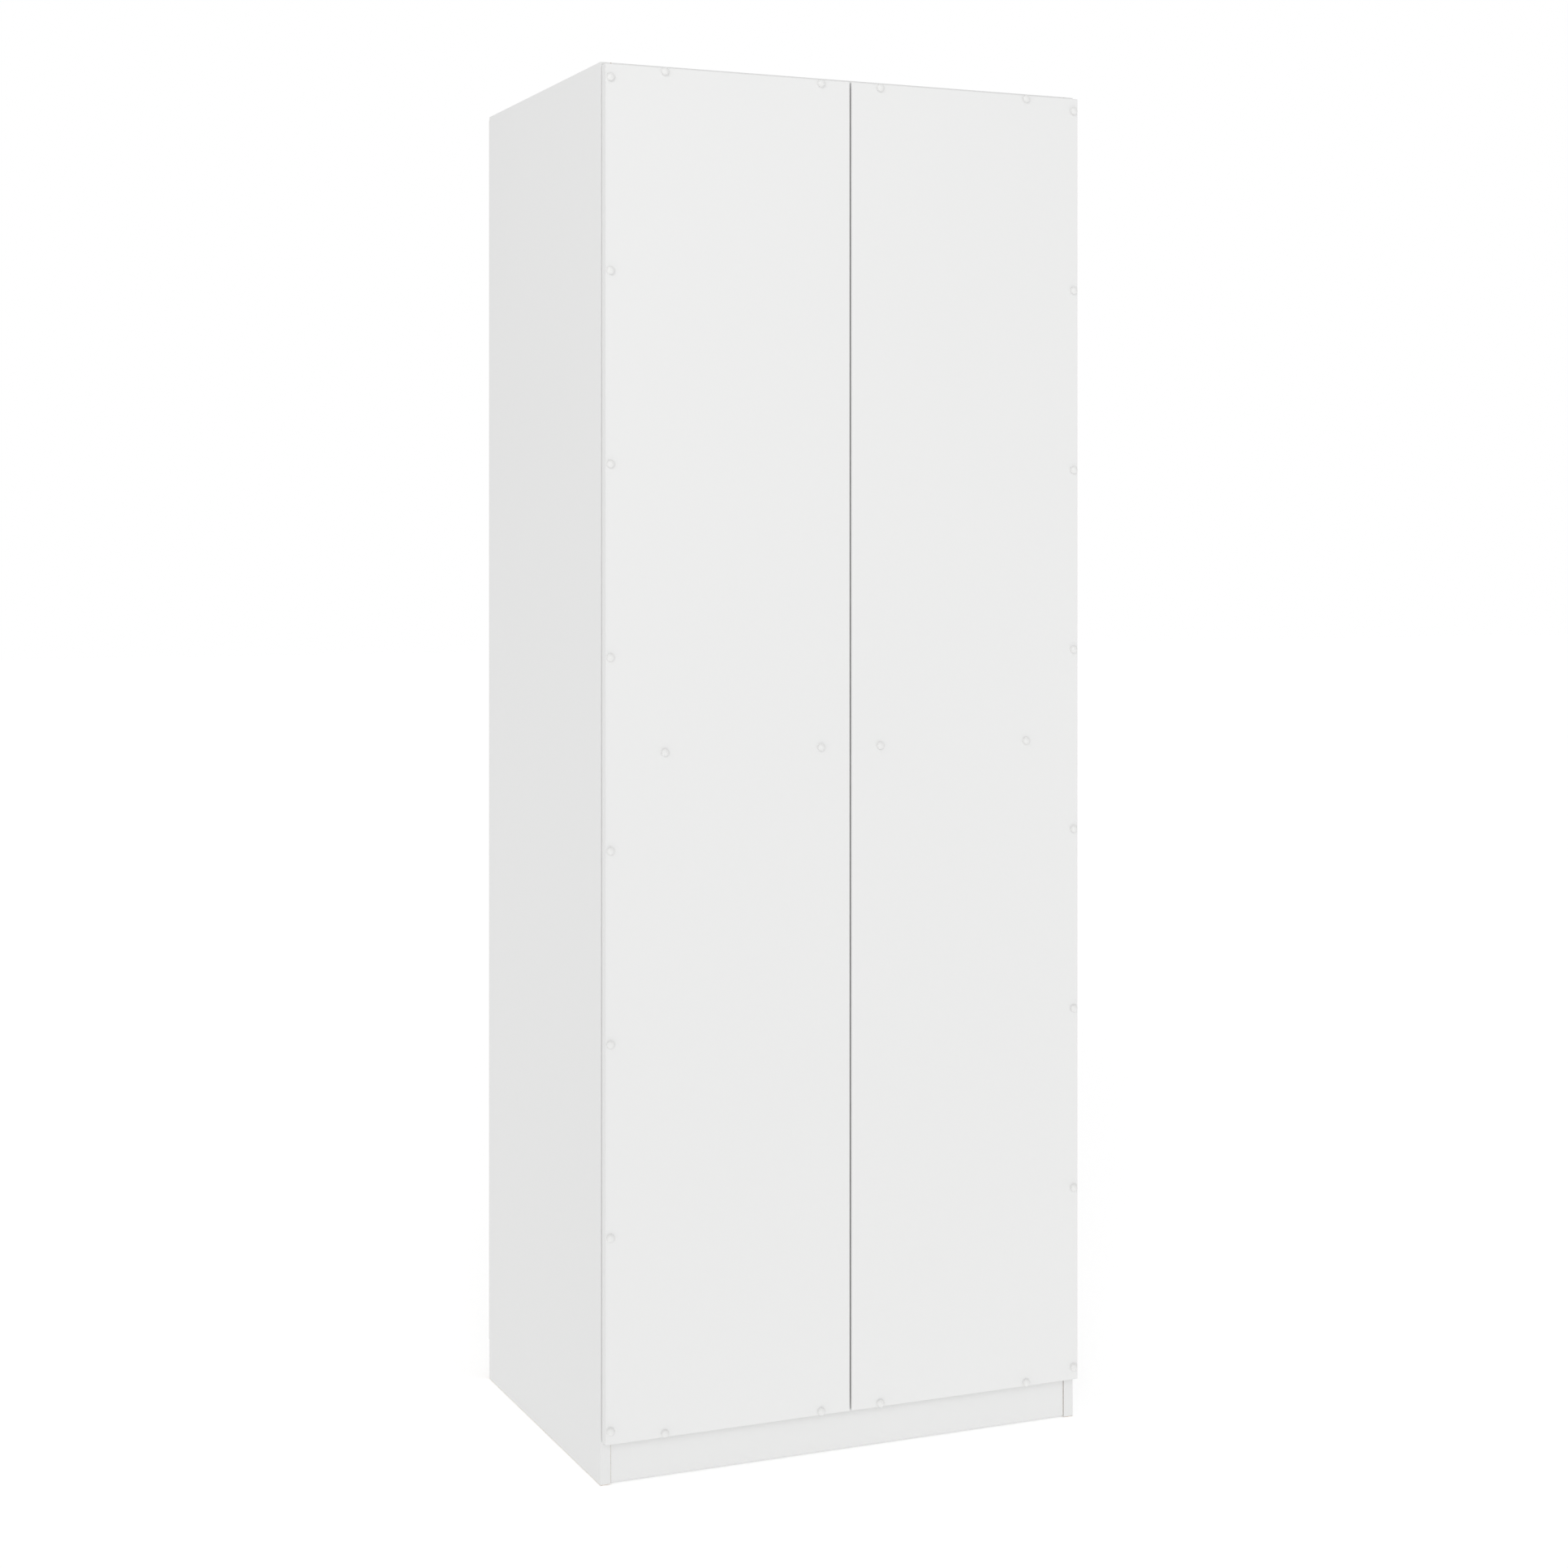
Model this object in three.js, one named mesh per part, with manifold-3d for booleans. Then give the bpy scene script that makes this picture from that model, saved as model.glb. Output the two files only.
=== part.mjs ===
// Pantry cabinet: a tall handleless two-door cupboard of faced board, in millimetres, +Z up.
// The cabinet stands on z = 0 with its doors facing -Y, and the origin is at the middle of its footprint.
import * as THREE from 'three';
import { mergeVertices } from 'three/addons/utils/BufferGeometryUtils.js';
import Module from 'manifold-3d';

const wasm = await Module();
wasm.setup();

// Carcass
const WIDTH = 800;
const HEIGHT = 2110;
const CARCASS_DEPTH = 556;
const BOARD = 16;
const BOARD_FIT = 0.2;          // assembly clearance where two boards meet

// Base
const BASE_HEIGHT = 65;         // underside of the bottom panel, and bottom edge of the doors
const PLINTH_RECESS = 2;
const PLINTH_LIFT = 2;          // the plinth board stays clear of the floor
const REAR_RAIL_INSET = 20;

// Back board, nailed on the rear edges in two halves with a strip over the joint
const BACK_THICKNESS = 4.8;
const BACK_MARGIN = 1;
const BACK_TOP_DROP = 5;
const STRIP_WIDTH = 20;
const STRIP_THICKNESS = 0.8;
const STRIP_WEB = 2;

// Doors
const DOOR_THICKNESS = 16;
const DOOR_GAP = 2;             // air between the door and the carcass front
const DOOR_SIDE_REVEAL = 1.5;
const DOOR_TOP_REVEAL = 5;
const MEETING_GAP = 3;

// Round studs on the door fronts
const STUD_RADIUS = 6;
const STUD_HEIGHT = 6;
const STUD_RIM = 2;             // straight rim below the dome
const STUD_EDGE = 7.5;          // column beside the hinge edge
const EDGE_STUD_COUNT = 8;
const EDGE_STUD_MARGIN = 20;
const STUD_OUTER = 93.5;        // inner studs, from the hinge edge of the door
const STUD_INNER = 50;          // inner studs, from the middle of the cabinet
const STUD_END_MARGIN = 6;

// Shelves on 5 mm pins in a 32 mm row of holes
const MIDDLE_SHELF_BOTTOM = 1072;
const SHELF_BACK_CLEARANCE = 6;
const SHELF_SIDE_CLEARANCE = 1;
const SHELF_SETBACK = 20;
const HOLE_PITCH = 32;
const HOLE_START = 105;
const SHELVES_PER_BAY = 2;      // loose shelves below and above the fixed middle shelf
const HINGE_KEEP_OUT = 48;      // no shelf lies nearer than this to the middle of a hinge
const PIN_RADIUS = 2.5;
const PIN_HOLE_CLEARANCE = 0.3;
const PIN_END_CLEARANCE = 0.5;
const PIN_SEAT = 10;            // length of the pin in its hole
const PIN_REACH = 9;            // length of the pin under the shelf
const PIN_COLLAR_RIM = 1.5;      // width of the collar around the pin
const PIN_COLLAR_LENGTH = 1.2;
const PIN_FROM_FRONT = 37;
const PIN_FROM_SHELF_BACK = 37;
const SEAT_GAP = 0.3;           // a resting or cut piece keeps this from its seat

// Concealed hinge, seen from above. Distances are from the outer side of the cabinet and its front plane.
const HINGE_COUNT = 4;
const HINGE_END_MARGIN = 100;
const CUP_FROM_ARM_PIN = 4;     // cup centre, inboard of the arm pin
const CUP_RADIUS = 17.2;
const CUP_DEPTH = 12;
const CUP_WALL = 1.7;
const CUP_FLOOR = 1;
const CUP_FLANGE = 1.8;
const FLANGE_THICKNESS = 0.8;
const WING_HALF_HEIGHT = 28;
const WING_WIDTH = 12;
const WING_OFFSET = 9.5;
const ARM_PIN_X = 4;            // arm pin, inboard of the side panel's inner face
const ARM_PIN_Y = -5;           // and in front of the carcass
const ARM_PIN_RADIUS = 1.5;
const PIN_CLEARANCE = 0.3;
const EYE_WALL = 1.5;
const LINK_CHORD = 16.9;
const LINK_SAGITTA = 6;
const LINK_TILT = 15;           // degrees that the closed link points into the cup
const LINK_THICKNESS = 2;
const LINK_HEIGHT = 8;
const CHEEK = 2;
const ARM_WIDTH = 7.9;
const ARM_FRONT = 5;
const ARM_BACK = 58;
const PLATE_THICKNESS = 2;
const PLATE_FRONT = 21;
const PLATE_BACK = 53;
const PLATE_HALF_HEIGHT = 22;

// Push-to-open latch under the fixed middle shelf
const LATCH_FROM_MIDDLE = 40;
const LATCH_WIDTH = 20;
const LATCH_HEIGHT = 18;
const LATCH_BACK_WALL = 6;
const LATCH_SETBACK = 2;
const PLUNGER_RADIUS = 4;
const PLUNGER_CLEARANCE = 0.4;
const PLUNGER_LENGTH = 44;
const PLUNGER_DOOR_GAP = 0.4;
const PLUNGER_END_ROOM = 9.6;

const ROUND = 20;               // sides of a large round piece
const SMALL_ROUND = 10;         // sides of a small round piece

// Derived places
const insideLeft = BOARD + BOARD_FIT;
const insideRight = WIDTH - BOARD - BOARD_FIT;
const doorFront = -(DOOR_GAP + DOOR_THICKNESS);
const studTip = doorFront - STUD_HEIGHT;
const backFront = CARCASS_DEPTH + BOARD_FIT;
const backRear = backFront + BACK_THICKNESS;
const stripRear = backRear + BOARD_FIT + STRIP_THICKNESS;
const doorWidth = (WIDTH - MEETING_GAP) / 2 - DOOR_SIDE_REVEAL;
const doorBottom = BASE_HEIGHT;
const doorTop = HEIGHT - DOOR_TOP_REVEAL;
const shelfBack = CARCASS_DEPTH - SHELF_BACK_CLEARANCE;
const collarRadius = PIN_RADIUS + PIN_COLLAR_RIM;
const armPinX = BOARD + ARM_PIN_X;
const cupX = armPinX + CUP_FROM_ARM_PIN;
const eyeRadius = ARM_PIN_RADIUS + EYE_WALL;
const cheekTop = LINK_HEIGHT / 2 + PIN_CLEARANCE + CHEEK;

function finish(color, roughness, metalness) {
  return new THREE.MeshStandardMaterial({ color, roughness, metalness });
}

const boardMaterial = () => finish(0xf4f4f2, 0.5, 0);
const backMaterial = () => finish(0xf0f0ee, 0.6, 0);
const steelMaterial = () => finish(0xb9bcc0, 0.3, 1);
const plasticMaterial = () => finish(0xe6e6e4, 0.45, 0);

// The group keeps its own frame: x from the left outer side, y from the carcass front, z from the floor.
const cabinet = new THREE.Group();
cabinet.position.set(-WIDTH / 2, -(stripRear + studTip) / 2, 0);

function place(parent, name, geometry, material) {
  const mesh = new THREE.Mesh(geometry, material);
  mesh.name = name;
  parent.add(mesh);
  return mesh;
}

function toSolid(geometry) {
  const bare = geometry.index ? geometry.toNonIndexed() : geometry.clone();
  bare.deleteAttribute('normal');
  bare.deleteAttribute('uv');
  const merged = mergeVertices(bare, 1e-4);
  return new wasm.Manifold(new wasm.Mesh({
    numProp: 3,
    vertProperties: new Float32Array(merged.attributes.position.array),
    triVerts: new Uint32Array(merged.index.array),
  }));
}

function toGeometry(solid) {
  const mesh = solid.getMesh();
  const geometry = new THREE.BufferGeometry();
  geometry.setAttribute('position', new THREE.BufferAttribute(new Float32Array(mesh.vertProperties), 3));
  geometry.setIndex(new THREE.BufferAttribute(new Uint32Array(mesh.triVerts), 1));
  geometry.computeVertexNormals();
  return geometry;
}

// A box given by its two corners
function boxBetween(low, high) {
  const size = high.map((value, axis) => value - low[axis]);
  const middle = high.map((value, axis) => (value + low[axis]) / 2);
  return new THREE.BoxGeometry(...size).translate(...middle);
}

function rodAlongX(radius, x0, x1, y, z, sides) {
  return new THREE.CylinderGeometry(radius, radius, Math.abs(x1 - x0), sides)
    .rotateZ(Math.PI / 2)
    .translate((x0 + x1) / 2, y, z);
}

function rodAlongY(radius, y0, y1, x, z, sides) {
  return new THREE.CylinderGeometry(radius, radius, y1 - y0, sides).translate(x, (y0 + y1) / 2, z);
}

function rodAlongZ(radius, z0, z1, x, y, sides) {
  return new THREE.CylinderGeometry(radius, radius, z1 - z0, sides)
    .rotateX(Math.PI / 2)
    .translate(x, y, (z0 + z1) / 2);
}

function extrudeZ(shape, z0, z1) {
  return new THREE.ExtrudeGeometry(shape, { depth: z1 - z0, bevelEnabled: false, curveSegments: 6 })
    .translate(0, 0, z0);
}

const sides = [
  { side: 'left', turn: 1, plane: 0 },
  { side: 'right', turn: -1, plane: WIDTH },
];

// Hinges share the door height evenly, each moved to the nearest pair of row holes for its two plate screws
const hingeHeights = Array.from({ length: HINGE_COUNT }, (_, index) => {
  const step = (doorTop - doorBottom - 2 * HINGE_END_MARGIN) / (HINGE_COUNT - 1);
  const even = doorBottom + HINGE_END_MARGIN + step * index;
  const holesBelow = Math.floor((even - HOLE_START) / HOLE_PITCH);
  return HOLE_START + HOLE_PITCH * (holesBelow + 0.5);
});

// Each loose shelf takes the row hole nearest to an even share of its bay that no hinge is in the way of
function freeHole(wanted) {
  const nearest = HOLE_START + HOLE_PITCH * Math.round((wanted - HOLE_START) / HOLE_PITCH);
  let step = 0;
  let hole = nearest;
  while (hingeHeights.some((z) => Math.abs(z - hole) < HINGE_KEEP_OUT)) {
    step = step < 0 ? -step : -(step + 1);
    hole = nearest + HOLE_PITCH * step;
  }
  return hole;
}

const bays = [
  [BASE_HEIGHT + BOARD, MIDDLE_SHELF_BOTTOM],
  [MIDDLE_SHELF_BOTTOM + BOARD, HEIGHT - BOARD],
];
const pinHeights = [];
for (const [low, high] of bays) {
  for (let index = 1; index <= SHELVES_PER_BAY; index += 1) {
    pinHeights.push(freeHole(low + ((high - low) * index) / (SHELVES_PER_BAY + 1)));
  }
}
const pinDepths = [
  { row: 'front', y: PIN_FROM_FRONT },
  { row: 'back', y: shelfBack - PIN_FROM_SHELF_BACK },
];

// Side panels, with a blind hole for each shelf pin
function sidePanel({ side, turn, plane }) {
  const edges = [plane, plane + turn * BOARD].sort((a, b) => a - b);
  let panel = toSolid(boxBetween([edges[0], 0, 0], [edges[1], CARCASS_DEPTH, HEIGHT]));
  const mouth = plane + turn * (BOARD + 1);
  const bottom = plane + turn * (BOARD - PIN_SEAT - PIN_END_CLEARANCE);
  const radius = PIN_RADIUS + PIN_HOLE_CLEARANCE;
  for (const z of pinHeights) {
    for (const { y } of pinDepths) {
      panel = panel.subtract(toSolid(rodAlongX(radius, mouth, bottom, y, z, SMALL_ROUND)));
    }
  }
  place(cabinet, `${side}_side_panel`, toGeometry(panel), boardMaterial());
}

// Boards that run between the side panels
function innerBoard(name, y0, y1, z0, z1) {
  place(cabinet, name, boxBetween([insideLeft, y0, z0], [insideRight, y1, z1]), boardMaterial());
}

// Back board halves and the T-shaped strip that covers their joint
function backBoards() {
  const middle = WIDTH / 2;
  const z0 = BASE_HEIGHT;
  const z1 = HEIGHT - BACK_TOP_DROP;
  const halfWeb = STRIP_WEB / 2 + SEAT_GAP;
  const left = boxBetween([BACK_MARGIN, backFront, z0], [middle - halfWeb, backRear, z1]);
  const right = boxBetween([middle + halfWeb, backFront, z0], [WIDTH - BACK_MARGIN, backRear, z1]);
  place(cabinet, 'back_board_left', left, backMaterial());
  place(cabinet, 'back_board_right', right, backMaterial());
  const flangeFront = backRear + BOARD_FIT;
  const halfFlange = STRIP_WIDTH / 2;
  const webRear = flangeFront + STRIP_THICKNESS / 2;
  const flange = boxBetween([middle - halfFlange, flangeFront, z0], [middle + halfFlange, stripRear, z1]);
  const web = boxBetween([middle - STRIP_WEB / 2, backFront, z0], [middle + STRIP_WEB / 2, webRear, z1]);
  place(cabinet, 'back_joint_strip', toGeometry(toSolid(flange).add(toSolid(web))), plasticMaterial());
}

// Loose shelves and the four pins under each
function shelf(index, pinZ) {
  const bottom = pinZ + PIN_RADIUS + SEAT_GAP;
  const low = [BOARD + SHELF_SIDE_CLEARANCE, SHELF_SETBACK, bottom];
  const high = [WIDTH - BOARD - SHELF_SIDE_CLEARANCE, shelfBack, bottom + BOARD];
  place(cabinet, `shelf_${index}`, boxBetween(low, high), boardMaterial());
  for (const wall of sides) {
    for (const { row, y } of pinDepths) {
      shelfPin(`shelf_${index}_pin_${wall.side}_${row}`, wall, y, pinZ);
    }
  }
}

function shelfPin(name, { turn, plane }, y, z) {
  const face = plane + turn * BOARD;
  const rod = rodAlongX(PIN_RADIUS, face - turn * PIN_SEAT, face + turn * PIN_REACH, y, z, SMALL_ROUND);
  const collarStart = face + turn * BOARD_FIT;
  const collarEnd = collarStart + turn * PIN_COLLAR_LENGTH;
  const collar = toSolid(rodAlongX(collarRadius, collarStart, collarEnd, y, z, SMALL_ROUND));
  const shelfSpace = toSolid(boxBetween(
    [0, y - collarRadius - 1, z + PIN_RADIUS],
    [WIDTH, y + collarRadius + 1, z + collarRadius + 1],
  ));
  place(cabinet, name, toGeometry(toSolid(rod).add(collar.subtract(shelfSpace))), steelMaterial());
}

// Doors, with a bore for each hinge cup and the round studs on the front
function studGeometry(x, z) {
  const profile = [new THREE.Vector2(0, -1), new THREE.Vector2(STUD_RADIUS, -1)];
  const domeSteps = 3;
  for (let step = 0; step <= domeSteps; step += 1) {
    const angle = (Math.PI / 2) * (step / domeSteps);
    const radius = step === domeSteps ? 0 : STUD_RADIUS * Math.cos(angle);
    profile.push(new THREE.Vector2(radius, STUD_RIM + (STUD_HEIGHT - STUD_RIM) * Math.sin(angle)));
  }
  return new THREE.LatheGeometry(profile, SMALL_ROUND).rotateX(Math.PI).translate(x, doorFront, z);
}

function studPlaces({ turn, plane }) {
  const hingeEdge = plane + turn * DOOR_SIDE_REVEAL;
  const places = [];
  const firstZ = doorBottom + EDGE_STUD_MARGIN;
  const pitch = (doorTop - doorBottom - 2 * EDGE_STUD_MARGIN) / (EDGE_STUD_COUNT - 1);
  for (let index = 0; index < EDGE_STUD_COUNT; index += 1) {
    places.push([hingeEdge + turn * STUD_EDGE, firstZ + pitch * index]);
  }
  const columns = [hingeEdge + turn * STUD_OUTER, WIDTH / 2 - turn * STUD_INNER];
  const rows = [doorBottom + STUD_END_MARGIN, (doorBottom + doorTop) / 2, doorTop - STUD_END_MARGIN];
  for (const x of columns) {
    for (const z of rows) {
      places.push([x, z]);
    }
  }
  return places;
}

function door(wall) {
  const { side, turn, plane } = wall;
  const hingeEdge = plane + turn * DOOR_SIDE_REVEAL;
  const edges = [hingeEdge, hingeEdge + turn * doorWidth].sort((a, b) => a - b);
  let leaf = toSolid(boxBetween([edges[0], doorFront, doorBottom], [edges[1], -DOOR_GAP, doorTop]));
  const boreX = plane + turn * cupX;
  const boreRadius = CUP_RADIUS + SEAT_GAP;
  const boreEnd = -DOOR_GAP - CUP_DEPTH - SEAT_GAP;
  for (const z of hingeHeights) {
    leaf = leaf.subtract(toSolid(rodAlongY(boreRadius, boreEnd, 0, boreX, z, ROUND)));
  }
  for (const [x, z] of studPlaces(wall)) {
    leaf = leaf.add(toSolid(studGeometry(x, z)));
  }
  place(cabinet, `${side}_door`, toGeometry(leaf), boardMaterial());
}

// Hinge cup: a round dish in the door with a flange and two screw wings on the door's back
function hingeCup(group, name, turn) {
  const x = turn * cupX;
  const flangeBack = -DOOR_GAP + SEAT_GAP;
  const flangeFront = flangeBack + FLANGE_THICKNESS;
  const bottom = -DOOR_GAP - CUP_DEPTH;
  const inner = CUP_RADIUS - CUP_WALL;
  const dish = new THREE.LatheGeometry([
    new THREE.Vector2(0, bottom),
    new THREE.Vector2(CUP_RADIUS, bottom),
    new THREE.Vector2(CUP_RADIUS, flangeBack),
    new THREE.Vector2(CUP_RADIUS + CUP_FLANGE, flangeBack),
    new THREE.Vector2(CUP_RADIUS + CUP_FLANGE, flangeFront),
    new THREE.Vector2(inner, flangeFront),
    new THREE.Vector2(inner, bottom + CUP_FLOOR),
    new THREE.Vector2(0, bottom + CUP_FLOOR),
  ], ROUND).translate(x, 0, 0);
  const wingX = x + turn * WING_OFFSET;
  const wing = toSolid(boxBetween(
    [wingX - WING_WIDTH / 2, flangeBack, -WING_HALF_HEIGHT],
    [wingX + WING_WIDTH / 2, flangeFront, WING_HALF_HEIGHT],
  ));
  const hollow = toSolid(rodAlongY(inner, bottom + CUP_FLOOR, 1, x, 0, ROUND));
  place(group, name, toGeometry(toSolid(dish).add(wing.subtract(hollow))), steelMaterial());
}

// Hinge link: a curved strap on the arm pin, which reaches round the rim of the cup
function hingeLink(group, name, turn) {
  const radius = (LINK_CHORD ** 2 / 4 + LINK_SAGITTA ** 2) / (2 * LINK_SAGITTA);
  const tilt = THREE.MathUtils.degToRad(-LINK_TILT);
  const along = new THREE.Vector2(Math.cos(tilt), Math.sin(tilt));
  const across = new THREE.Vector2(-along.y, along.x);
  const pin = new THREE.Vector2(armPinX, ARM_PIN_Y);
  const tip = pin.clone().addScaledVector(along, LINK_CHORD);
  const middle = pin.clone().addScaledVector(along, LINK_CHORD / 2);
  const centre = middle.addScaledVector(across, LINK_SAGITTA - radius);
  const start = Math.atan2(pin.y - centre.y, pin.x - centre.x);
  const end = Math.atan2(tip.y - centre.y, tip.x - centre.x);
  const steps = 8;
  const bend = [];
  for (let step = 0; step <= steps; step += 1) {
    bend.push(start + ((end - start) * step) / steps);
  }
  const onArc = (angle, r) => new THREE.Vector2(
    turn * (centre.x + r * Math.cos(angle)),
    centre.y + r * Math.sin(angle),
  );
  const outer = bend.map((angle) => onArc(angle, radius + LINK_THICKNESS / 2));
  const inner = bend.map((angle) => onArc(angle, radius - LINK_THICKNESS / 2)).reverse();
  const half = LINK_HEIGHT / 2;
  const strap = toSolid(extrudeZ(new THREE.Shape([...outer, ...inner]), -half, half));
  const eye = toSolid(rodAlongZ(eyeRadius, -half, half, turn * pin.x, pin.y, SMALL_ROUND));
  const roll = toSolid(rodAlongZ(ARM_PIN_RADIUS, -half, half, turn * tip.x, tip.y, SMALL_ROUND));
  const axle = toSolid(rodAlongZ(ARM_PIN_RADIUS, -cheekTop, cheekTop, turn * pin.x, pin.y, SMALL_ROUND));
  place(group, name, toGeometry(strap.add(eye).add(roll).add(axle)), steelMaterial());
}

// Hinge arm: a plate on the side panel and a forked arm that carries the link pin
function hingeArm(group, name, turn) {
  const face = BOARD + SEAT_GAP;
  const bodyStart = face + PLATE_THICKNESS - BOARD_FIT;
  const bodyEnd = bodyStart + ARM_WIDTH;
  const span = (a, b) => [turn * a, turn * b].sort((p, q) => p - q);
  const block = (x0, x1, y0, y1, halfHeight) => {
    const [low, high] = span(x0, x1);
    return toSolid(boxBetween([low, y0, -halfHeight], [high, y1, halfHeight]));
  };
  const plate = block(face, face + PLATE_THICKNESS, PLATE_FRONT, PLATE_BACK, PLATE_HALF_HEIGHT);
  const body = block(bodyStart, bodyEnd, ARM_FRONT, ARM_BACK, cheekTop);
  const outline = [
    [bodyStart, ARM_FRONT + CHEEK],
    [armPinX - eyeRadius, 1],
  ];
  const eyeSteps = 6;
  for (let step = 0; step <= eyeSteps; step += 1) {
    const angle = Math.PI + (Math.PI * step) / eyeSteps;
    outline.push([armPinX + eyeRadius * Math.cos(angle), ARM_PIN_Y + eyeRadius * Math.sin(angle)]);
  }
  outline.push([bodyEnd, 1], [bodyEnd, ARM_FRONT + CHEEK]);
  const shape = new THREE.Shape(outline.map(([x, y]) => new THREE.Vector2(turn * x, y)));
  const slot = LINK_HEIGHT / 2 + PIN_CLEARANCE;
  const lowerCheek = toSolid(extrudeZ(shape, -cheekTop, -slot));
  const upperCheek = toSolid(extrudeZ(shape, slot, cheekTop));
  const hole = toSolid(rodAlongZ(
    ARM_PIN_RADIUS + PIN_CLEARANCE, -cheekTop - 1, cheekTop + 1, turn * armPinX, ARM_PIN_Y, SMALL_ROUND,
  ));
  const fork = lowerCheek.add(upperCheek);
  place(group, name, toGeometry(plate.add(body).add(fork).subtract(hole)), steelMaterial());
}

function hinges({ side, turn, plane }) {
  hingeHeights.forEach((z, index) => {
    const group = new THREE.Group();
    group.position.set(plane, 0, z);
    cabinet.add(group);
    hingeCup(group, `${side}_hinge_cup_${index + 1}`, turn);
    hingeLink(group, `${side}_hinge_link_${index + 1}`, turn);
    hingeArm(group, `${side}_hinge_arm_${index + 1}`, turn);
  });
}

// Push-to-open latch: a housing under the middle shelf with a plunger that meets the door
function pushLatch({ side, turn }) {
  const x = WIDTH / 2 - turn * LATCH_FROM_MIDDLE;
  const top = MIDDLE_SHELF_BOTTOM - BOARD_FIT;
  const z = top - LATCH_HEIGHT / 2;
  const tip = -DOOR_GAP + PLUNGER_DOOR_GAP;
  const boreEnd = tip + PLUNGER_LENGTH + PLUNGER_END_ROOM;
  const housing = toSolid(boxBetween(
    [x - LATCH_WIDTH / 2, LATCH_SETBACK, top - LATCH_HEIGHT],
    [x + LATCH_WIDTH / 2, boreEnd + LATCH_BACK_WALL, top],
  ));
  const boreRadius = PLUNGER_RADIUS + PLUNGER_CLEARANCE;
  const bore = toSolid(rodAlongY(boreRadius, LATCH_SETBACK - 1, boreEnd, x, z, ROUND));
  place(cabinet, `${side}_latch_housing`, toGeometry(housing.subtract(bore)), plasticMaterial());
  const plunger = rodAlongY(PLUNGER_RADIUS, tip, tip + PLUNGER_LENGTH, x, z, ROUND);
  place(cabinet, `${side}_latch_plunger`, plunger, plasticMaterial());
}

sides.forEach(sidePanel);
innerBoard('top_panel', 0, CARCASS_DEPTH, HEIGHT - BOARD, HEIGHT);
innerBoard('bottom_panel', 0, CARCASS_DEPTH, BASE_HEIGHT, BASE_HEIGHT + BOARD);
innerBoard('middle_shelf', 0, CARCASS_DEPTH, MIDDLE_SHELF_BOTTOM, MIDDLE_SHELF_BOTTOM + BOARD);
innerBoard('plinth_board', PLINTH_RECESS, PLINTH_RECESS + BOARD, PLINTH_LIFT, BASE_HEIGHT - BOARD_FIT);
const railBack = CARCASS_DEPTH - REAR_RAIL_INSET;
innerBoard('rear_plinth_rail', railBack - BOARD, railBack, 0, BASE_HEIGHT - BOARD_FIT);
backBoards();
pinHeights.forEach((z, index) => shelf(index + 1, z));
sides.forEach(door);
sides.forEach(hinges);
sides.forEach(pushLatch);

export default cabinet;
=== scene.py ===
import math

import bpy
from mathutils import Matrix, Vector


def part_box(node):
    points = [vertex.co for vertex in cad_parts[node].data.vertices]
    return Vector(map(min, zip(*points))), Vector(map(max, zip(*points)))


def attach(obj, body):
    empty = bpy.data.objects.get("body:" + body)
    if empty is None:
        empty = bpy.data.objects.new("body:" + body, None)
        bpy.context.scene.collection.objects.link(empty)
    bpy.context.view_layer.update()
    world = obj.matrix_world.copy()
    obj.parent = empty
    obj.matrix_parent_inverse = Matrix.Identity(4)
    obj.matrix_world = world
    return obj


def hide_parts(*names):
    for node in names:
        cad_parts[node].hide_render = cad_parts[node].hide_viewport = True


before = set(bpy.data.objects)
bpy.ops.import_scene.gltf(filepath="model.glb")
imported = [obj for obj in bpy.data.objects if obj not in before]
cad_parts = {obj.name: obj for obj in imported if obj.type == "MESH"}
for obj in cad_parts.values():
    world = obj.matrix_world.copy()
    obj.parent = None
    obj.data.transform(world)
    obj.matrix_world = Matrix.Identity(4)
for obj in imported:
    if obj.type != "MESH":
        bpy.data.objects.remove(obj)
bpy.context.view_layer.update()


# ---- Side panels -------------------------------------------------------------------------------
# Two 16 mm particle boards with white melamine on both faces and a glued band on the front and top
# edges. The back and bottom edges are left raw. Two rows of holes for 5 mm pins, 32 mm apart, take the
# shelf pins and the screws of the hinge plates.

BAND_THICKNESS = 0.001
SEAM_MARGIN = 0.00005
EDGE_ROUNDING = 0.0006
HOLE_RADIUS = 0.0028
HOLE_DEPTH = 0.0105
HOLE_PITCH = 0.032
FIRST_HOLE = 0.105
HOLE_SIDES = 14
BROAD_FACE = 0.00002        # square metres: the hardware's own flat faces are smaller
AXIS_ALIGNED = 0.9999
MELAMINE_WHITE = (0.800, 0.802, 0.798, 1.0)
BAND_WHITE = (0.785, 0.787, 0.782, 1.0)
CHIP_TAN = (0.48, 0.36, 0.23, 1.0)
CHIP_DARK = (0.22, 0.14, 0.08, 1.0)


def new_group(name, inputs, outputs):
    """An empty shader node group with named sockets."""
    group = bpy.data.node_groups.new(name, "ShaderNodeTree")
    for socket, kind, value in inputs:
        made = group.interface.new_socket(socket, in_out="INPUT", socket_type=kind)
        if value is not None:
            made.default_value = value
    for socket, kind in outputs:
        group.interface.new_socket(socket, in_out="OUTPUT", socket_type=kind)
    return group, group.nodes.new("NodeGroupInput"), group.nodes.new("NodeGroupOutput")


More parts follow.
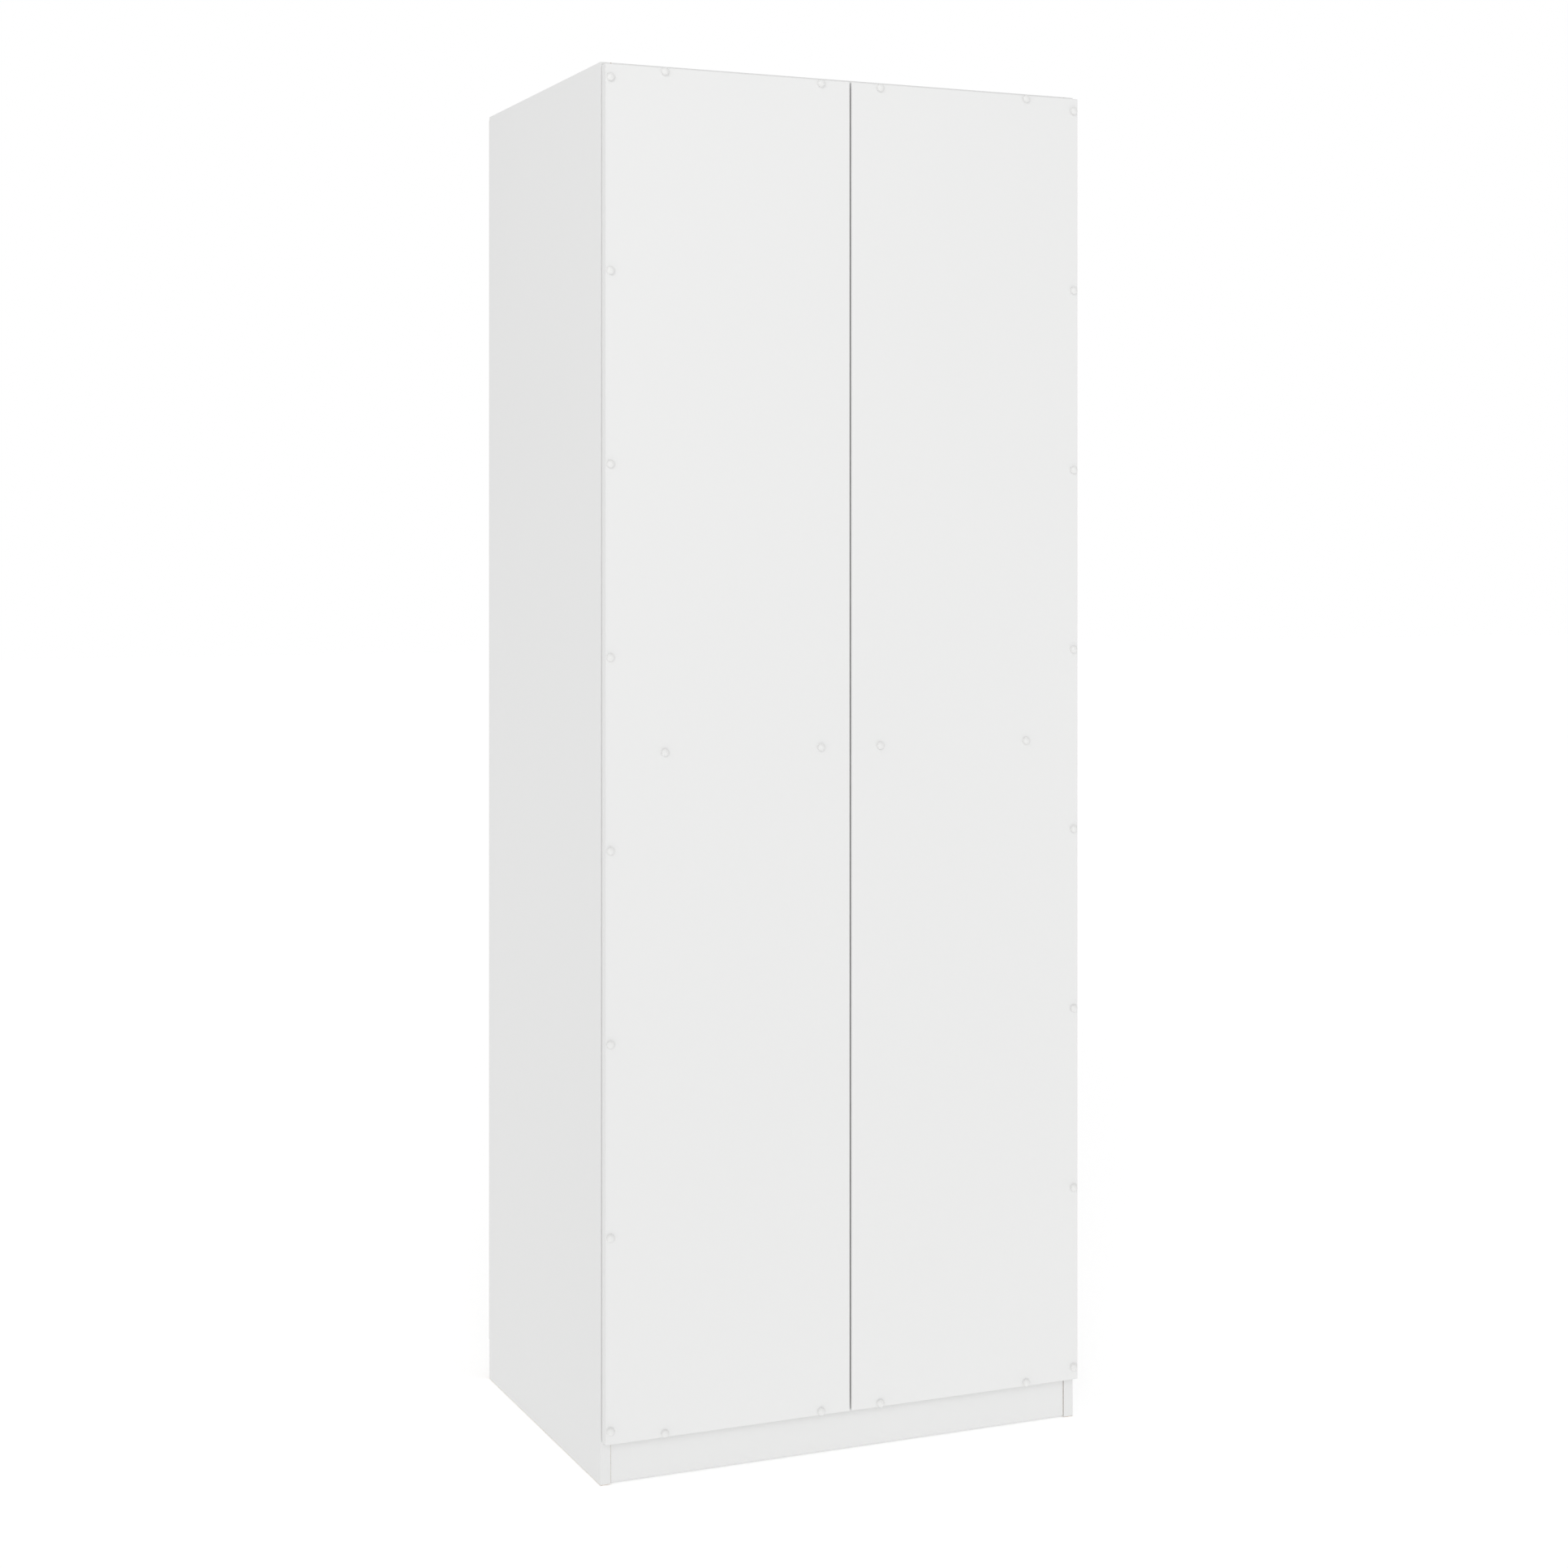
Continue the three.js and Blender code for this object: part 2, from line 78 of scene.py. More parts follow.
def make_press_grain():
    """The fine dimples that a press plate leaves, and a cloudy unevenness of tone and gloss."""
    group, put, out = new_group(
        "press_grain",
        [
            ("Vector", "NodeSocketVector", None),
            ("Grain Scale", "NodeSocketFloat", 900.0),
            ("Base Roughness", "NodeSocketFloat", 0.42),
            ("Gloss Spread", "NodeSocketFloat", 0.08),
        ],
        [("Height", "NodeSocketFloat"), ("Roughness", "NodeSocketFloat"), ("Tone", "NodeSocketFloat")],
    )
    link = group.links.new
    dimples = group.nodes.new("ShaderNodeTexNoise")
    dimples.inputs["Detail"].default_value = 2.0
    clouds = group.nodes.new("ShaderNodeTexNoise")
    clouds.inputs["Scale"].default_value = 2.4
    clouds.inputs["Detail"].default_value = 3.0
    link(put.outputs["Vector"], dimples.inputs["Vector"])
    link(put.outputs["Vector"], clouds.inputs["Vector"])
    link(put.outputs["Grain Scale"], dimples.inputs["Scale"])
    centred = group.nodes.new("ShaderNodeMath")
    centred.operation = "SUBTRACT"
    centred.inputs[1].default_value = 0.5
    spread = group.nodes.new("ShaderNodeMath")
    spread.operation = "MULTIPLY_ADD"
    link(clouds.outputs["Fac"], centred.inputs[0])
    link(centred.outputs[0], spread.inputs[0])
    link(put.outputs["Gloss Spread"], spread.inputs[1])
    link(put.outputs["Base Roughness"], spread.inputs[2])
    link(dimples.outputs["Fac"], out.inputs["Height"])
    link(spread.outputs[0], out.inputs["Roughness"])
    link(clouds.outputs["Fac"], out.inputs["Tone"])
    return group


press_grain = make_press_grain()


def new_material(name):
    """A node material, with its nodes, its link call and its shader."""
    material = bpy.data.materials.new(name)
    material.use_nodes = True
    nodes = material.node_tree.nodes
    return material, nodes, material.node_tree.links.new, nodes["Principled BSDF"]


def shade(colour, share):
    """The same colour, darker or lighter by a share."""
    return [min(1.0, value * (1.0 + share)) for value in colour[:3]] + [1.0]


def grained(name, colour, darker, lighter, grain_scale, roughness, gloss_spread, relief):
    """A smooth finish with the press grain in its relief and gloss, and a slow drift of its tone."""
    material, nodes, link, shader = new_material(name)
    place = nodes.new("ShaderNodeTexCoord")
    grain = nodes.new("ShaderNodeGroup")
    grain.node_tree = press_grain
    grain.inputs["Grain Scale"].default_value = grain_scale
    grain.inputs["Base Roughness"].default_value = roughness
    grain.inputs["Gloss Spread"].default_value = gloss_spread
    tint = nodes.new("ShaderNodeMix")
    tint.data_type = "RGBA"
    tint.inputs["A"].default_value = shade(colour, darker)
    tint.inputs["B"].default_value = shade(colour, lighter)
    bump = nodes.new("ShaderNodeBump")
    bump.inputs["Strength"].default_value = 0.5
    bump.inputs["Distance"].default_value = relief
    link(place.outputs["Object"], grain.inputs["Vector"])
    link(grain.outputs["Tone"], tint.inputs["Factor"])
    link(grain.outputs["Height"], bump.inputs["Height"])
    link(tint.outputs["Result"], shader.inputs["Base Color"])
    link(grain.outputs["Roughness"], shader.inputs["Roughness"])
    link(bump.outputs["Normal"], shader.inputs["Normal"])
    return material


def make_raw_board():
    """Sawn particle board: tan chips of several sizes with dark pores between them."""
    material, nodes, link, shader = new_material("raw_particle_board")
    place = nodes.new("ShaderNodeTexCoord")
    chips = nodes.new("ShaderNodeTexVoronoi")
    chips.inputs["Scale"].default_value = 380.0
    pores = nodes.new("ShaderNodeTexNoise")
    pores.inputs["Scale"].default_value = 240.0
    pores.inputs["Detail"].default_value = 6.0
    link(place.outputs["Object"], chips.inputs["Vector"])
    link(place.outputs["Object"], pores.inputs["Vector"])
    ramp = nodes.new("ShaderNodeValToRGB")
    ramp.color_ramp.elements[0].color = CHIP_DARK
    ramp.color_ramp.elements[0].position = 0.34
    ramp.color_ramp.elements[1].color = CHIP_TAN
    ramp.color_ramp.elements[1].position = 0.56
    tone = nodes.new("ShaderNodeHueSaturation")
    lift = nodes.new("ShaderNodeMapRange")
    lift.inputs["To Min"].default_value = 0.75
    lift.inputs["To Max"].default_value = 1.35
    bump = nodes.new("ShaderNodeBump")
    bump.inputs["Strength"].default_value = 0.7
    bump.inputs["Distance"].default_value = 0.0002
    link(pores.outputs["Fac"], ramp.inputs["Fac"])
    link(chips.outputs["Distance"], lift.inputs["Value"])
    link(ramp.outputs["Color"], tone.inputs["Color"])
    link(lift.outputs["Result"], tone.inputs["Value"])
    link(pores.outputs["Fac"], bump.inputs["Height"])
    link(tone.outputs["Color"], shader.inputs["Base Color"])
    link(bump.outputs["Normal"], shader.inputs["Normal"])
    shader.inputs["Roughness"].default_value = 0.9
    return material


melamine = grained(
    "melamine_white", MELAMINE_WHITE, -0.006, 0.006,
    grain_scale=1100.0, roughness=0.46, gloss_spread=0.08, relief=0.00003,
)
edge_band = grained(
    "edge_band_white", BAND_WHITE, -0.004, 0.004,
    grain_scale=1700.0, roughness=0.40, gloss_spread=0.05, relief=0.00002,
)
raw_board = make_raw_board()


def clear_selection():
    """Leaves edit mode and deselects everything."""
    if bpy.context.object and bpy.context.object.mode != "OBJECT":
        bpy.ops.object.mode_set(mode="OBJECT")
    bpy.ops.object.select_all(action="DESELECT")


def make_active(piece):
    """Selects one piece alone."""
    clear_selection()
    piece.select_set(True)
    bpy.context.view_layer.objects.active = piece


def settle(name):
    """Names the piece that was just added, and moves its place and size into its mesh."""
    piece = bpy.context.object
    piece.name = name
    piece.data.name = name
    bpy.ops.object.transform_apply(location=True, rotation=True, scale=True)
    return piece


def add_block(name, low, high):
    """A block between two corners."""
    low, high = Vector(low), Vector(high)
    clear_selection()
    bpy.ops.mesh.primitive_cube_add(size=1.0, location=(low + high) / 2, scale=high - low)
    return settle(name)


def turn_on_lathe(name, centre, out, rings, sides=32):
    """A turned piece: a disc drawn out ring by ring, each ring a distance along out and a radius."""
    centre, out = Vector(centre), Vector(out)
    reached, radius = rings[0]
    clear_selection()
    bpy.ops.mesh.primitive_circle_add(
        vertices=sides, radius=radius, fill_type="NGON", location=centre + out * reached,
        rotation=out.to_track_quat("Z", "Y").to_euler(),
    )
    piece = settle(name)
    bpy.ops.object.mode_set(mode="EDIT")
    bpy.ops.mesh.select_all(action="SELECT")
    for distance, wanted in rings[1:]:
        bpy.ops.mesh.extrude_region_move(TRANSFORM_OT_translate={"value": out * (distance - reached)})
        bpy.ops.transform.resize(value=[wanted / radius] * 3, center_override=centre + out * distance)
        reached, radius = distance, wanted
    bpy.ops.mesh.select_all(action="SELECT")
    bpy.ops.mesh.normals_make_consistent(inside=False)
    bpy.ops.object.mode_set(mode="OBJECT")
    return piece


def apply_modifier(piece, kind, **settings):
    """Adds a modifier with its settings and applies it."""
    make_active(piece)
    modifier = piece.modifiers.new(kind.title(), kind)
    for key, value in settings.items():
        setattr(modifier, key, value)
    bpy.ops.object.modifier_apply(modifier=modifier.name)


def take_away(piece, cutter):
    """Cuts another solid out of the piece."""
    apply_modifier(piece, "BOOLEAN", operation="DIFFERENCE", object=cutter, solver="EXACT")
    bpy.data.objects.remove(cutter)


def smooth(piece, sharper_than=35.0):
    """Shades the rounded faces smooth and leaves the broad flat ones flat."""
    make_active(piece)
    bpy.ops.object.shade_smooth_by_angle(angle=math.radians(sharper_than))
    for face in piece.data.polygons:
        if face.area > BROAD_FACE and max(abs(part) for part in face.normal) > AXIS_ALIGNED:
            face.use_smooth = False


def soften(piece, width, segments=2, sharper_than=35.0):
    """Rounds the sharp edges."""
    apply_modifier(
        piece, "BEVEL", width=width, segments=segments, limit_method="ANGLE",
        angle_limit=math.radians(sharper_than),
    )
    smooth(piece, sharper_than)


def join_all(pieces):
    """Makes several solids one object."""
    clear_selection()
    for piece in pieces:
        piece.select_set(True)
    bpy.context.view_layer.objects.active = pieces[0]
    bpy.ops.object.join()
    return pieces[0]


def copy_piece(piece, name, move):
    """A copy with a mesh of its own, moved to its place."""
    twin = piece.copy()
    twin.data = piece.data.copy()
    twin.name = name
    twin.data.name = name
    bpy.context.scene.collection.objects.link(twin)
    for vertex in twin.data.vertices:
        vertex.co += Vector(move)
    return twin


BOARD_EDGES = {
    "front": (1, -1), "back": (1, 1), "left": (0, -1), "right": (0, 1),
    "bottom": (2, -1), "top": (2, 1),
}


def saw_board(name, low, high, banded, raw, faced=melamine):
    """A board with its edge bands marked off, its edges rounded, and each face in its own finish."""
    board = add_block(name, low, high)
    bpy.ops.object.mode_set(mode="EDIT")
    for edge in banded:
        axis, sign = BOARD_EDGES[edge]
        seam = Vector((0, 0, 0))
        across = Vector((0, 0, 0))
        seam[axis] = (high if sign > 0 else low)[axis] - sign * BAND_THICKNESS
        across[axis] = 1
        bpy.ops.mesh.select_all(action="SELECT")
        bpy.ops.mesh.bisect(plane_co=seam, plane_no=across)
    bpy.ops.object.mode_set(mode="OBJECT")
    soften(board, EDGE_ROUNDING, 3)
    for finish in (faced, edge_band, raw_board):
        board.data.materials.append(finish)
    for face in board.data.polygons:
        for slot, edges in ((1, banded), (2, raw)):
            for edge in edges:
                axis, sign = BOARD_EDGES[edge]
                depth = sign * ((high if sign > 0 else low)[axis] - face.center[axis])
                if depth < BAND_THICKNESS - SEAM_MARGIN:
                    face.material_index = slot
    return board


def hole_rows():
    """The depths of the two rows of holes, taken from the shelf pins, and the heights of the holes."""
    rows = []
    for row in ("front", "back"):
        low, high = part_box(f"shelf_1_pin_left_{row}")
        rows.append((low.y + high.y) / 2)
    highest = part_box("left_side_panel")[1].z - FIRST_HOLE / 2
    count = int((highest - FIRST_HOLE) / HOLE_PITCH) + 1
    return rows, [FIRST_HOLE + HOLE_PITCH * step for step in range(count)]


def make_side_panel(side, inward):
    """A side board drilled with its rows of holes. Inward is the sign of X towards the middle."""
    low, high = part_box(f"{side}_side_panel")
    panel = saw_board(f"{side}_side_board", low, high, ("front", "top"), ("back", "bottom"))
    inner_face = high.x if inward > 0 else low.x
    rows, heights = hole_rows()
    drill = turn_on_lathe(
        "drill", (inner_face, rows[0], heights[0]), (inward, 0, 0),
        [(-HOLE_DEPTH, HOLE_RADIUS), (HOLE_DEPTH, HOLE_RADIUS)], HOLE_SIDES,
    )
    smooth(drill)
    drills = [
        copy_piece(drill, "drill", (0, y - rows[0], z - heights[0])) for y in rows for z in heights
    ]
    bpy.data.objects.remove(drill)
    take_away(panel, join_all(drills))
    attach(panel, "cabinet")
    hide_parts(f"{side}_side_panel")


make_side_panel("left", 1)
make_side_panel("right", -1)


# ---- Top, bottom and fixed middle shelf ----------------------------------------------------------
# Three boards of the same stock, set between the side panels. Each is pulled tight by four die-cast
# cam locks, which sit in bores in its lower face and are turned with a cross screwdriver.

CAM_RADIUS = 0.0075
CAM_BORE_CLEARANCE = 0.0001
CAM_DEPTH = 0.0125
CAM_SUNK = 0.0004
CAM_CHAMFER = 0.0005
CAM_TAPER = 0.001
CAM_DISHING = 0.0006
CROSS_REACH = 0.55          # of the radius of a screw or a cam
CROSS_WIDTH = 0.2           # of the reach, as a half width
CROSS_DEPTH = 0.6           # of the reach
CAM_FROM_SIDE = 0.034
CAM_FROM_EDGE = 0.060
CAST_ZINC = (0.46, 0.47, 0.49, 1.0)


def metal(name, colour, darker, **finish):
    """A grained finish on bare or plated metal."""
    material = grained(name, colour, darker, 0.0, **finish)
    material.node_tree.nodes["Principled BSDF"].inputs["Metallic"].default_value = 1.0
    return material


cast_zinc = metal(
    "cast_zinc", CAST_ZINC, -0.12,
    grain_scale=1500.0, roughness=0.45, gloss_spread=0.3, relief=0.00006,
)


def cut_cross(piece, centre, out, radius):
    """The cross recess of a screw or a cam of this radius, which faces out."""
    reach = radius * CROSS_REACH
    for axis in range(3):
        if abs(out[axis]) < 0.5:
            half = Vector([reach * (CROSS_WIDTH if abs(part) < 0.5 else CROSS_DEPTH) for part in out])
            half[axis] = reach
            take_away(piece, add_block("cross", centre - half, centre + half))


def make_cam():
    """A cam lock with a dished face, whose bore opens downwards at the origin."""
    cam = turn_on_lathe("cam", (0, 0, 0), (0, 0, -1), [
        (-CAM_DEPTH, CAM_RADIUS * 0.94), (-CAM_DEPTH + CAM_TAPER, CAM_RADIUS),
        (-CAM_SUNK - CAM_CHAMFER, CAM_RADIUS), (-CAM_SUNK, CAM_RADIUS * 0.93),
        (-CAM_SUNK, CAM_RADIUS * 0.74), (-CAM_SUNK - CAM_DISHING, CAM_RADIUS * 0.68),
    ])
    cut_cross(cam, Vector((0, 0, CAM_SUNK)), (0, 0, -1), CAM_RADIUS)
    smooth(cam)
    cam.data.materials.append(cast_zinc)
    return cam


def finish_board(board, node):
    """Fixes a board in the cabinet in the place of its plain solid."""
    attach(board, "cabinet")
    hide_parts(node)


loose_cam = make_cam()
for node in ("top_panel", "bottom_panel", "middle_shelf"):
    low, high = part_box(node)
    board = saw_board(f"{node}_board", low, high, ("front",), ("left", "right", "back"))
    places = [
        Vector((x, y, low.z))
        for x in (low.x + CAM_FROM_SIDE, high.x - CAM_FROM_SIDE)
        for y in (low.y + CAM_FROM_EDGE, high.y - CAM_FROM_EDGE)
    ]
    bores = [
        turn_on_lathe("bore", place, (0, 0, -1), [
            (-CAM_DEPTH - CAM_BORE_CLEARANCE, CAM_RADIUS + CAM_BORE_CLEARANCE),
            (CAM_DEPTH, CAM_RADIUS + CAM_BORE_CLEARANCE),
        ])
        for place in places
    ]
    take_away(board, join_all(bores))
    finish_board(board, node)
    for index, place in enumerate(places, 1):
        cam = copy_piece(loose_cam, f"{node}_cam_lock_{index}", place)
        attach(cam, "cabinet")
bpy.data.objects.remove(loose_cam)


# ---- Plinth board and rear rail --------------------------------------------------------------------
# A strip of the same board closes the front under the doors, a little behind the side panels' edges
# and just clear of the floor. A second strip carries the bottom panel near the back.

for node in ("plinth_board", "rear_plinth_rail"):
    low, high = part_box(node)
    banded = ("bottom",) if node == "plinth_board" else ()
    finish_board(saw_board(f"{node}_strip", low, high, banded, ("left", "right")), node)


# ---- Back board ------------------------------------------------------------------------------------
# Two sheets of thin fibreboard, lacquered white, are nailed on the rear edges of the carcass. A plastic
# strip with a web between the sheets covers their joint.

SHEET_ROUNDING = 0.0004
FIBREBOARD_WHITE = (0.760, 0.755, 0.735, 1.0)
PLASTIC_WHITE = (0.800, 0.800, 0.792, 1.0)
STRIP_WEB = 0.002
STRIP_FLANGE = 0.0008
NAIL_RADIUS = 0.0014
NAIL_HEAD = 0.0004
NAIL_SIDES = 12
NAIL_PITCH = 0.145
NAIL_FROM_EDGE = 0.007
NAIL_FROM_JOINT = 0.030
NAIL_COLOUR = (0.55, 0.55, 0.56, 1.0)

lacquered = grained(
    "lacquered_fibreboard", FIBREBOARD_WHITE, -0.03, 0.02,
    grain_scale=260.0, roughness=0.62, gloss_spread=0.12, relief=0.00008,
)
white_plastic = grained(
    "moulded_plastic_white", PLASTIC_WHITE, -0.01, 0.01,
    grain_scale=800.0, roughness=0.38, gloss_spread=0.08, relief=0.00003,
)
bright_steel = metal(
    "bright_steel", NAIL_COLOUR, -0.1,
    grain_scale=2200.0, roughness=0.32, gloss_spread=0.25, relief=0.00002,
)

for node in ("back_board_left", "back_board_right"):
    sheet = add_block(f"{node}_sheet", *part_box(node))
    soften(sheet, SHEET_ROUNDING)
    sheet.data.materials.append(lacquered)
    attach(sheet, "cabinet")
    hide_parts(node)

low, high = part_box("back_joint_strip")
flange_front = high.y - STRIP_FLANGE
strip = add_block("back_cover_strip", (low.x, flange_front, low.z), high)
bpy.ops.object.mode_set(mode="EDIT")
for sign in (-1, 1):
    bpy.ops.mesh.select_all(action="SELECT")
    bpy.ops.mesh.bisect(plane_co=(sign * STRIP_WEB / 2, 0, 0), plane_no=(1, 0, 0))
bpy.ops.mesh.select_mode(type="FACE")
bpy.ops.mesh.select_all(action="DESELECT")
bpy.ops.object.mode_set(mode="OBJECT")
for face in strip.data.polygons:
    face.select = face.normal.y < -0.5 and abs(face.center.x) < STRIP_WEB / 2
bpy.ops.object.mode_set(mode="EDIT")
bpy.ops.mesh.extrude_region_move(TRANSFORM_OT_translate={"value": (0, low.y - flange_front, 0)})
bpy.ops.object.mode_set(mode="OBJECT")
soften(strip, STRIP_FLANGE * 0.4)
strip.data.materials.append(white_plastic)
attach(strip, "cabinet")
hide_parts("back_joint_strip")


def spread_between(start, end, pitch):
    """Even places from start to end, near a pitch."""
    count = max(1, round((end - start) / pitch))
    return [start + (end - start) * step / count for step in range(count + 1)]


nail_places = []
middle_z = sum(corner.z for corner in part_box("middle_shelf")) / 2
for side, outward in (("left", -1), ("right", 1)):
    low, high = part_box(f"back_board_{side}")
    lowest, highest = low.z + NAIL_FROM_EDGE, high.z - NAIL_FROM_EDGE
    edge_x = (low.x if outward < 0 else high.x) - outward * NAIL_FROM_EDGE
    joint_x = (high.x if outward < 0 else low.x) + outward * NAIL_FROM_JOINT
    for z in spread_between(lowest, highest, NAIL_PITCH):
        nail_places.append((edge_x, high.y, z))
    for z in (lowest, highest, middle_z):
        for x in spread_between(joint_x, edge_x, NAIL_PITCH)[:-1]:
            nail_places.append((x, high.y, z))

loose_nail = turn_on_lathe("nail", (0, 0, 0), (0, 1, 0), [
    (0, NAIL_RADIUS), (NAIL_HEAD * 0.6, NAIL_RADIUS), (NAIL_HEAD, NAIL_RADIUS * 0.6),
], NAIL_SIDES)
loose_nail.data.materials.append(bright_steel)
for index, place in enumerate(nail_places, 1):
    nail = copy_piece(loose_nail, f"back_nail_{index}", place)
    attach(nail, "cabinet")
bpy.data.objects.remove(loose_nail)


# ---- Shelf pins ------------------------------------------------------------------------------------
# Zinc-plated pins of 5 mm, pushed into the holes up to a collar. The collar is cut flat on top, so
# that the shelf rests on the pin.

PIN_RADIUS = 0.0025
PIN_SEAT = 0.010
PIN_REACH = 0.009
COLLAR_RADIUS = 0.004
COLLAR_START = 0.0002
COLLAR_END = 0.0014
COLLAR_CHAMFER = 0.0002
PIN_TIP_TAPER = 0.0005
PIN_SIDES = 24
ZINC = (0.60, 0.61, 0.63, 1.0)
SHELF_COUNT = 4

zinc_plate = metal(
    "zinc_plate", ZINC, -0.12,
    grain_scale=2500.0, roughness=0.30, gloss_spread=0.25, relief=0.00002,
)


def make_shelf_pin(node, inward):
    """A turned pin and its collar, where the side board's face crosses the pin's middle line."""
    low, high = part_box(node)
    wall = low.x + PIN_SEAT if inward > 0 else high.x - PIN_SEAT
    centre = Vector((wall, (low.y + high.y) / 2, high.z - PIN_RADIUS))
    collar = turn_on_lathe("collar", centre, (inward, 0, 0), [
        (COLLAR_START, COLLAR_RADIUS * 0.95), (COLLAR_START + COLLAR_CHAMFER, COLLAR_RADIUS),
        (COLLAR_END - COLLAR_CHAMFER, COLLAR_RADIUS), (COLLAR_END, COLLAR_RADIUS * 0.95),
    ], PIN_SIDES)
    bpy.ops.object.mode_set(mode="EDIT")
    bpy.ops.mesh.select_all(action="SELECT")
    bpy.ops.mesh.bisect(plane_co=(0, 0, high.z), plane_no=(0, 0, 1), clear_outer=True, use_fill=True)
    bpy.ops.mesh.select_all(action="SELECT")
    bpy.ops.mesh.normals_make_consistent(inside=False)
    bpy.ops.object.mode_set(mode="OBJECT")
    pin = turn_on_lathe(f"{node}_turned", centre, (inward, 0, 0), [
        (-PIN_SEAT, PIN_RADIUS * 0.8), (-PIN_SEAT + PIN_TIP_TAPER, PIN_RADIUS),
        (PIN_REACH - PIN_TIP_TAPER, PIN_RADIUS), (PIN_REACH, PIN_RADIUS * 0.8),
    ], PIN_SIDES)
    pin = join_all([pin, collar])
    smooth(pin)
    pin.data.materials.append(zinc_plate)
    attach(pin, "cabinet")
    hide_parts(node)


for index in range(1, SHELF_COUNT + 1):
    for side, inward in (("left", 1), ("right", -1)):
        for row in ("front", "back"):
            make_shelf_pin(f"shelf_{index}_pin_{side}_{row}", inward)


# ---- Loose shelves ---------------------------------------------------------------------------------
# Four shelves of the same board lie on the pins, banded on the front edge only.

for index in range(1, SHELF_COUNT + 1):
    low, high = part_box(f"shelf_{index}")
    shelf = saw_board(f"shelf_{index}_board", low, high, ("front",), ("left", "right", "back"))
    finish_board(shelf, f"shelf_{index}")


# ---- Doors -----------------------------------------------------------------------------------------
# Two full-height leaves of 16 mm board, foil-faced and banded on all four edges. The back has a 35 mm
# bore for each hinge cup.

DOOR_THICKNESS = 0.016
CUP_RADIUS = 0.0172
CUP_DEPTH = 0.012
CUP_CLEARANCE = 0.0003
CUP_FROM_SIDE = 0.024
CUP_SIDES = 48
HINGES_PER_DOOR = 4
FOIL_WHITE = (0.812, 0.814, 0.810, 1.0)

door_foil = grained(
    "door_foil_white", FOIL_WHITE, -0.006, 0.006,
    grain_scale=1500.0, roughness=0.44, gloss_spread=0.08, relief=0.00002,
)
cabinet_low, cabinet_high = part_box("left_side_panel")[0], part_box("right_side_panel")[1]


def cup_centre(side, index):
    """The middle of a hinge cup, on the back face of its door."""
    low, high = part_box(f"{side}_hinge_cup_{index}")
    x = cabinet_low.x + CUP_FROM_SIDE if side == "left" else cabinet_high.x - CUP_FROM_SIDE
    return Vector((x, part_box(f"{side}_door")[1].y, (low.z + high.z) / 2))


for side in ("left", "right"):
    low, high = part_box(f"{side}_door")
    leaf_low = Vector((low.x, high.y - DOOR_THICKNESS, low.z))
    leaf = saw_board(
        f"{side}_door_leaf", leaf_low, high, ("left", "right", "bottom", "top"), (), door_foil
    )
    bores = [
        turn_on_lathe("cup_bore", cup_centre(side, index), (0, 1, 0), [
            (-CUP_DEPTH - CUP_CLEARANCE, CUP_RADIUS + CUP_CLEARANCE),
            (CUP_DEPTH, CUP_RADIUS + CUP_CLEARANCE),
        ], CUP_SIDES)
        for index in range(1, HINGES_PER_DOOR + 1)
    ]
    take_away(leaf, join_all(bores))
    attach(leaf, f"{side}_door")
    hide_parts(f"{side}_door")


# ---- Door studs ------------------------------------------------------------------------------------
# Small round white studs stand on the door fronts: a column beside each hinge edge, and two columns of
# three at the bottom, the middle and the top. Each is a moulded cap with a domed face.

STUD_RADIUS = 0.006
STUD_HEIGHT = 0.006
STUD_RIM = 0.002
STUD_DOME_STEPS = 7
STUD_DOME_SWEEP = math.radians(86)
STUD_FOOT_CHAMFER = 0.0003
STUD_SIDES = 28
STUD_EDGE = 0.0075
EDGE_STUD_COUNT = 8
EDGE_STUD_MARGIN = 0.020
STUD_OUTER = 0.0935
STUD_INNER = 0.050
STUD_END_MARGIN = 0.006


def stud_places(side, inward):
    """Where the studs of one door stand, across and up."""
    low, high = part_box(f"{side}_door")
    hinge_edge = low.x if inward > 0 else high.x
    pitch = (high.z - low.z - 2 * EDGE_STUD_MARGIN) / (EDGE_STUD_COUNT - 1)
    places = [
        (hinge_edge + inward * STUD_EDGE, low.z + EDGE_STUD_MARGIN + pitch * index)
        for index in range(EDGE_STUD_COUNT)
    ]
    for x in (hinge_edge + inward * STUD_OUTER, -inward * STUD_INNER):
        for z in (low.z + STUD_END_MARGIN, (low.z + high.z) / 2, high.z - STUD_END_MARGIN):
            places.append((x, z))
    return places


stud_profile = [(0, STUD_RADIUS * 0.985), (STUD_FOOT_CHAMFER, STUD_RADIUS)]
for step in range(STUD_DOME_STEPS):
    angle = STUD_DOME_SWEEP * step / (STUD_DOME_STEPS - 1)
    height = STUD_RIM + (STUD_HEIGHT - STUD_RIM) * math.sin(angle)
    stud_profile.append((height, STUD_RADIUS * math.cos(angle)))
loose_stud = turn_on_lathe("stud", (0, 0, 0), (0, -1, 0), stud_profile, STUD_SIDES)
smooth(loose_stud)
loose_stud.data.materials.append(white_plastic)

door_front_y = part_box("left_door")[1].y - DOOR_THICKNESS
for side, inward in (("left", 1), ("right", -1)):
    for index, (x, z) in enumerate(stud_places(side, inward), 1):
        stud = copy_piece(loose_stud, f"{side}_door_stud_{index}", (x, door_front_y, z))
        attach(stud, f"{side}_door")
bpy.data.objects.remove(loose_stud)


# ---- Hinge cups ------------------------------------------------------------------------------------
# A pressed, nickel-plated dish sunk in the door, with a rolled rim and a plate with two wings. Two
# countersunk cross-head screws, 45 mm apart, hold the wings on the back of the door.

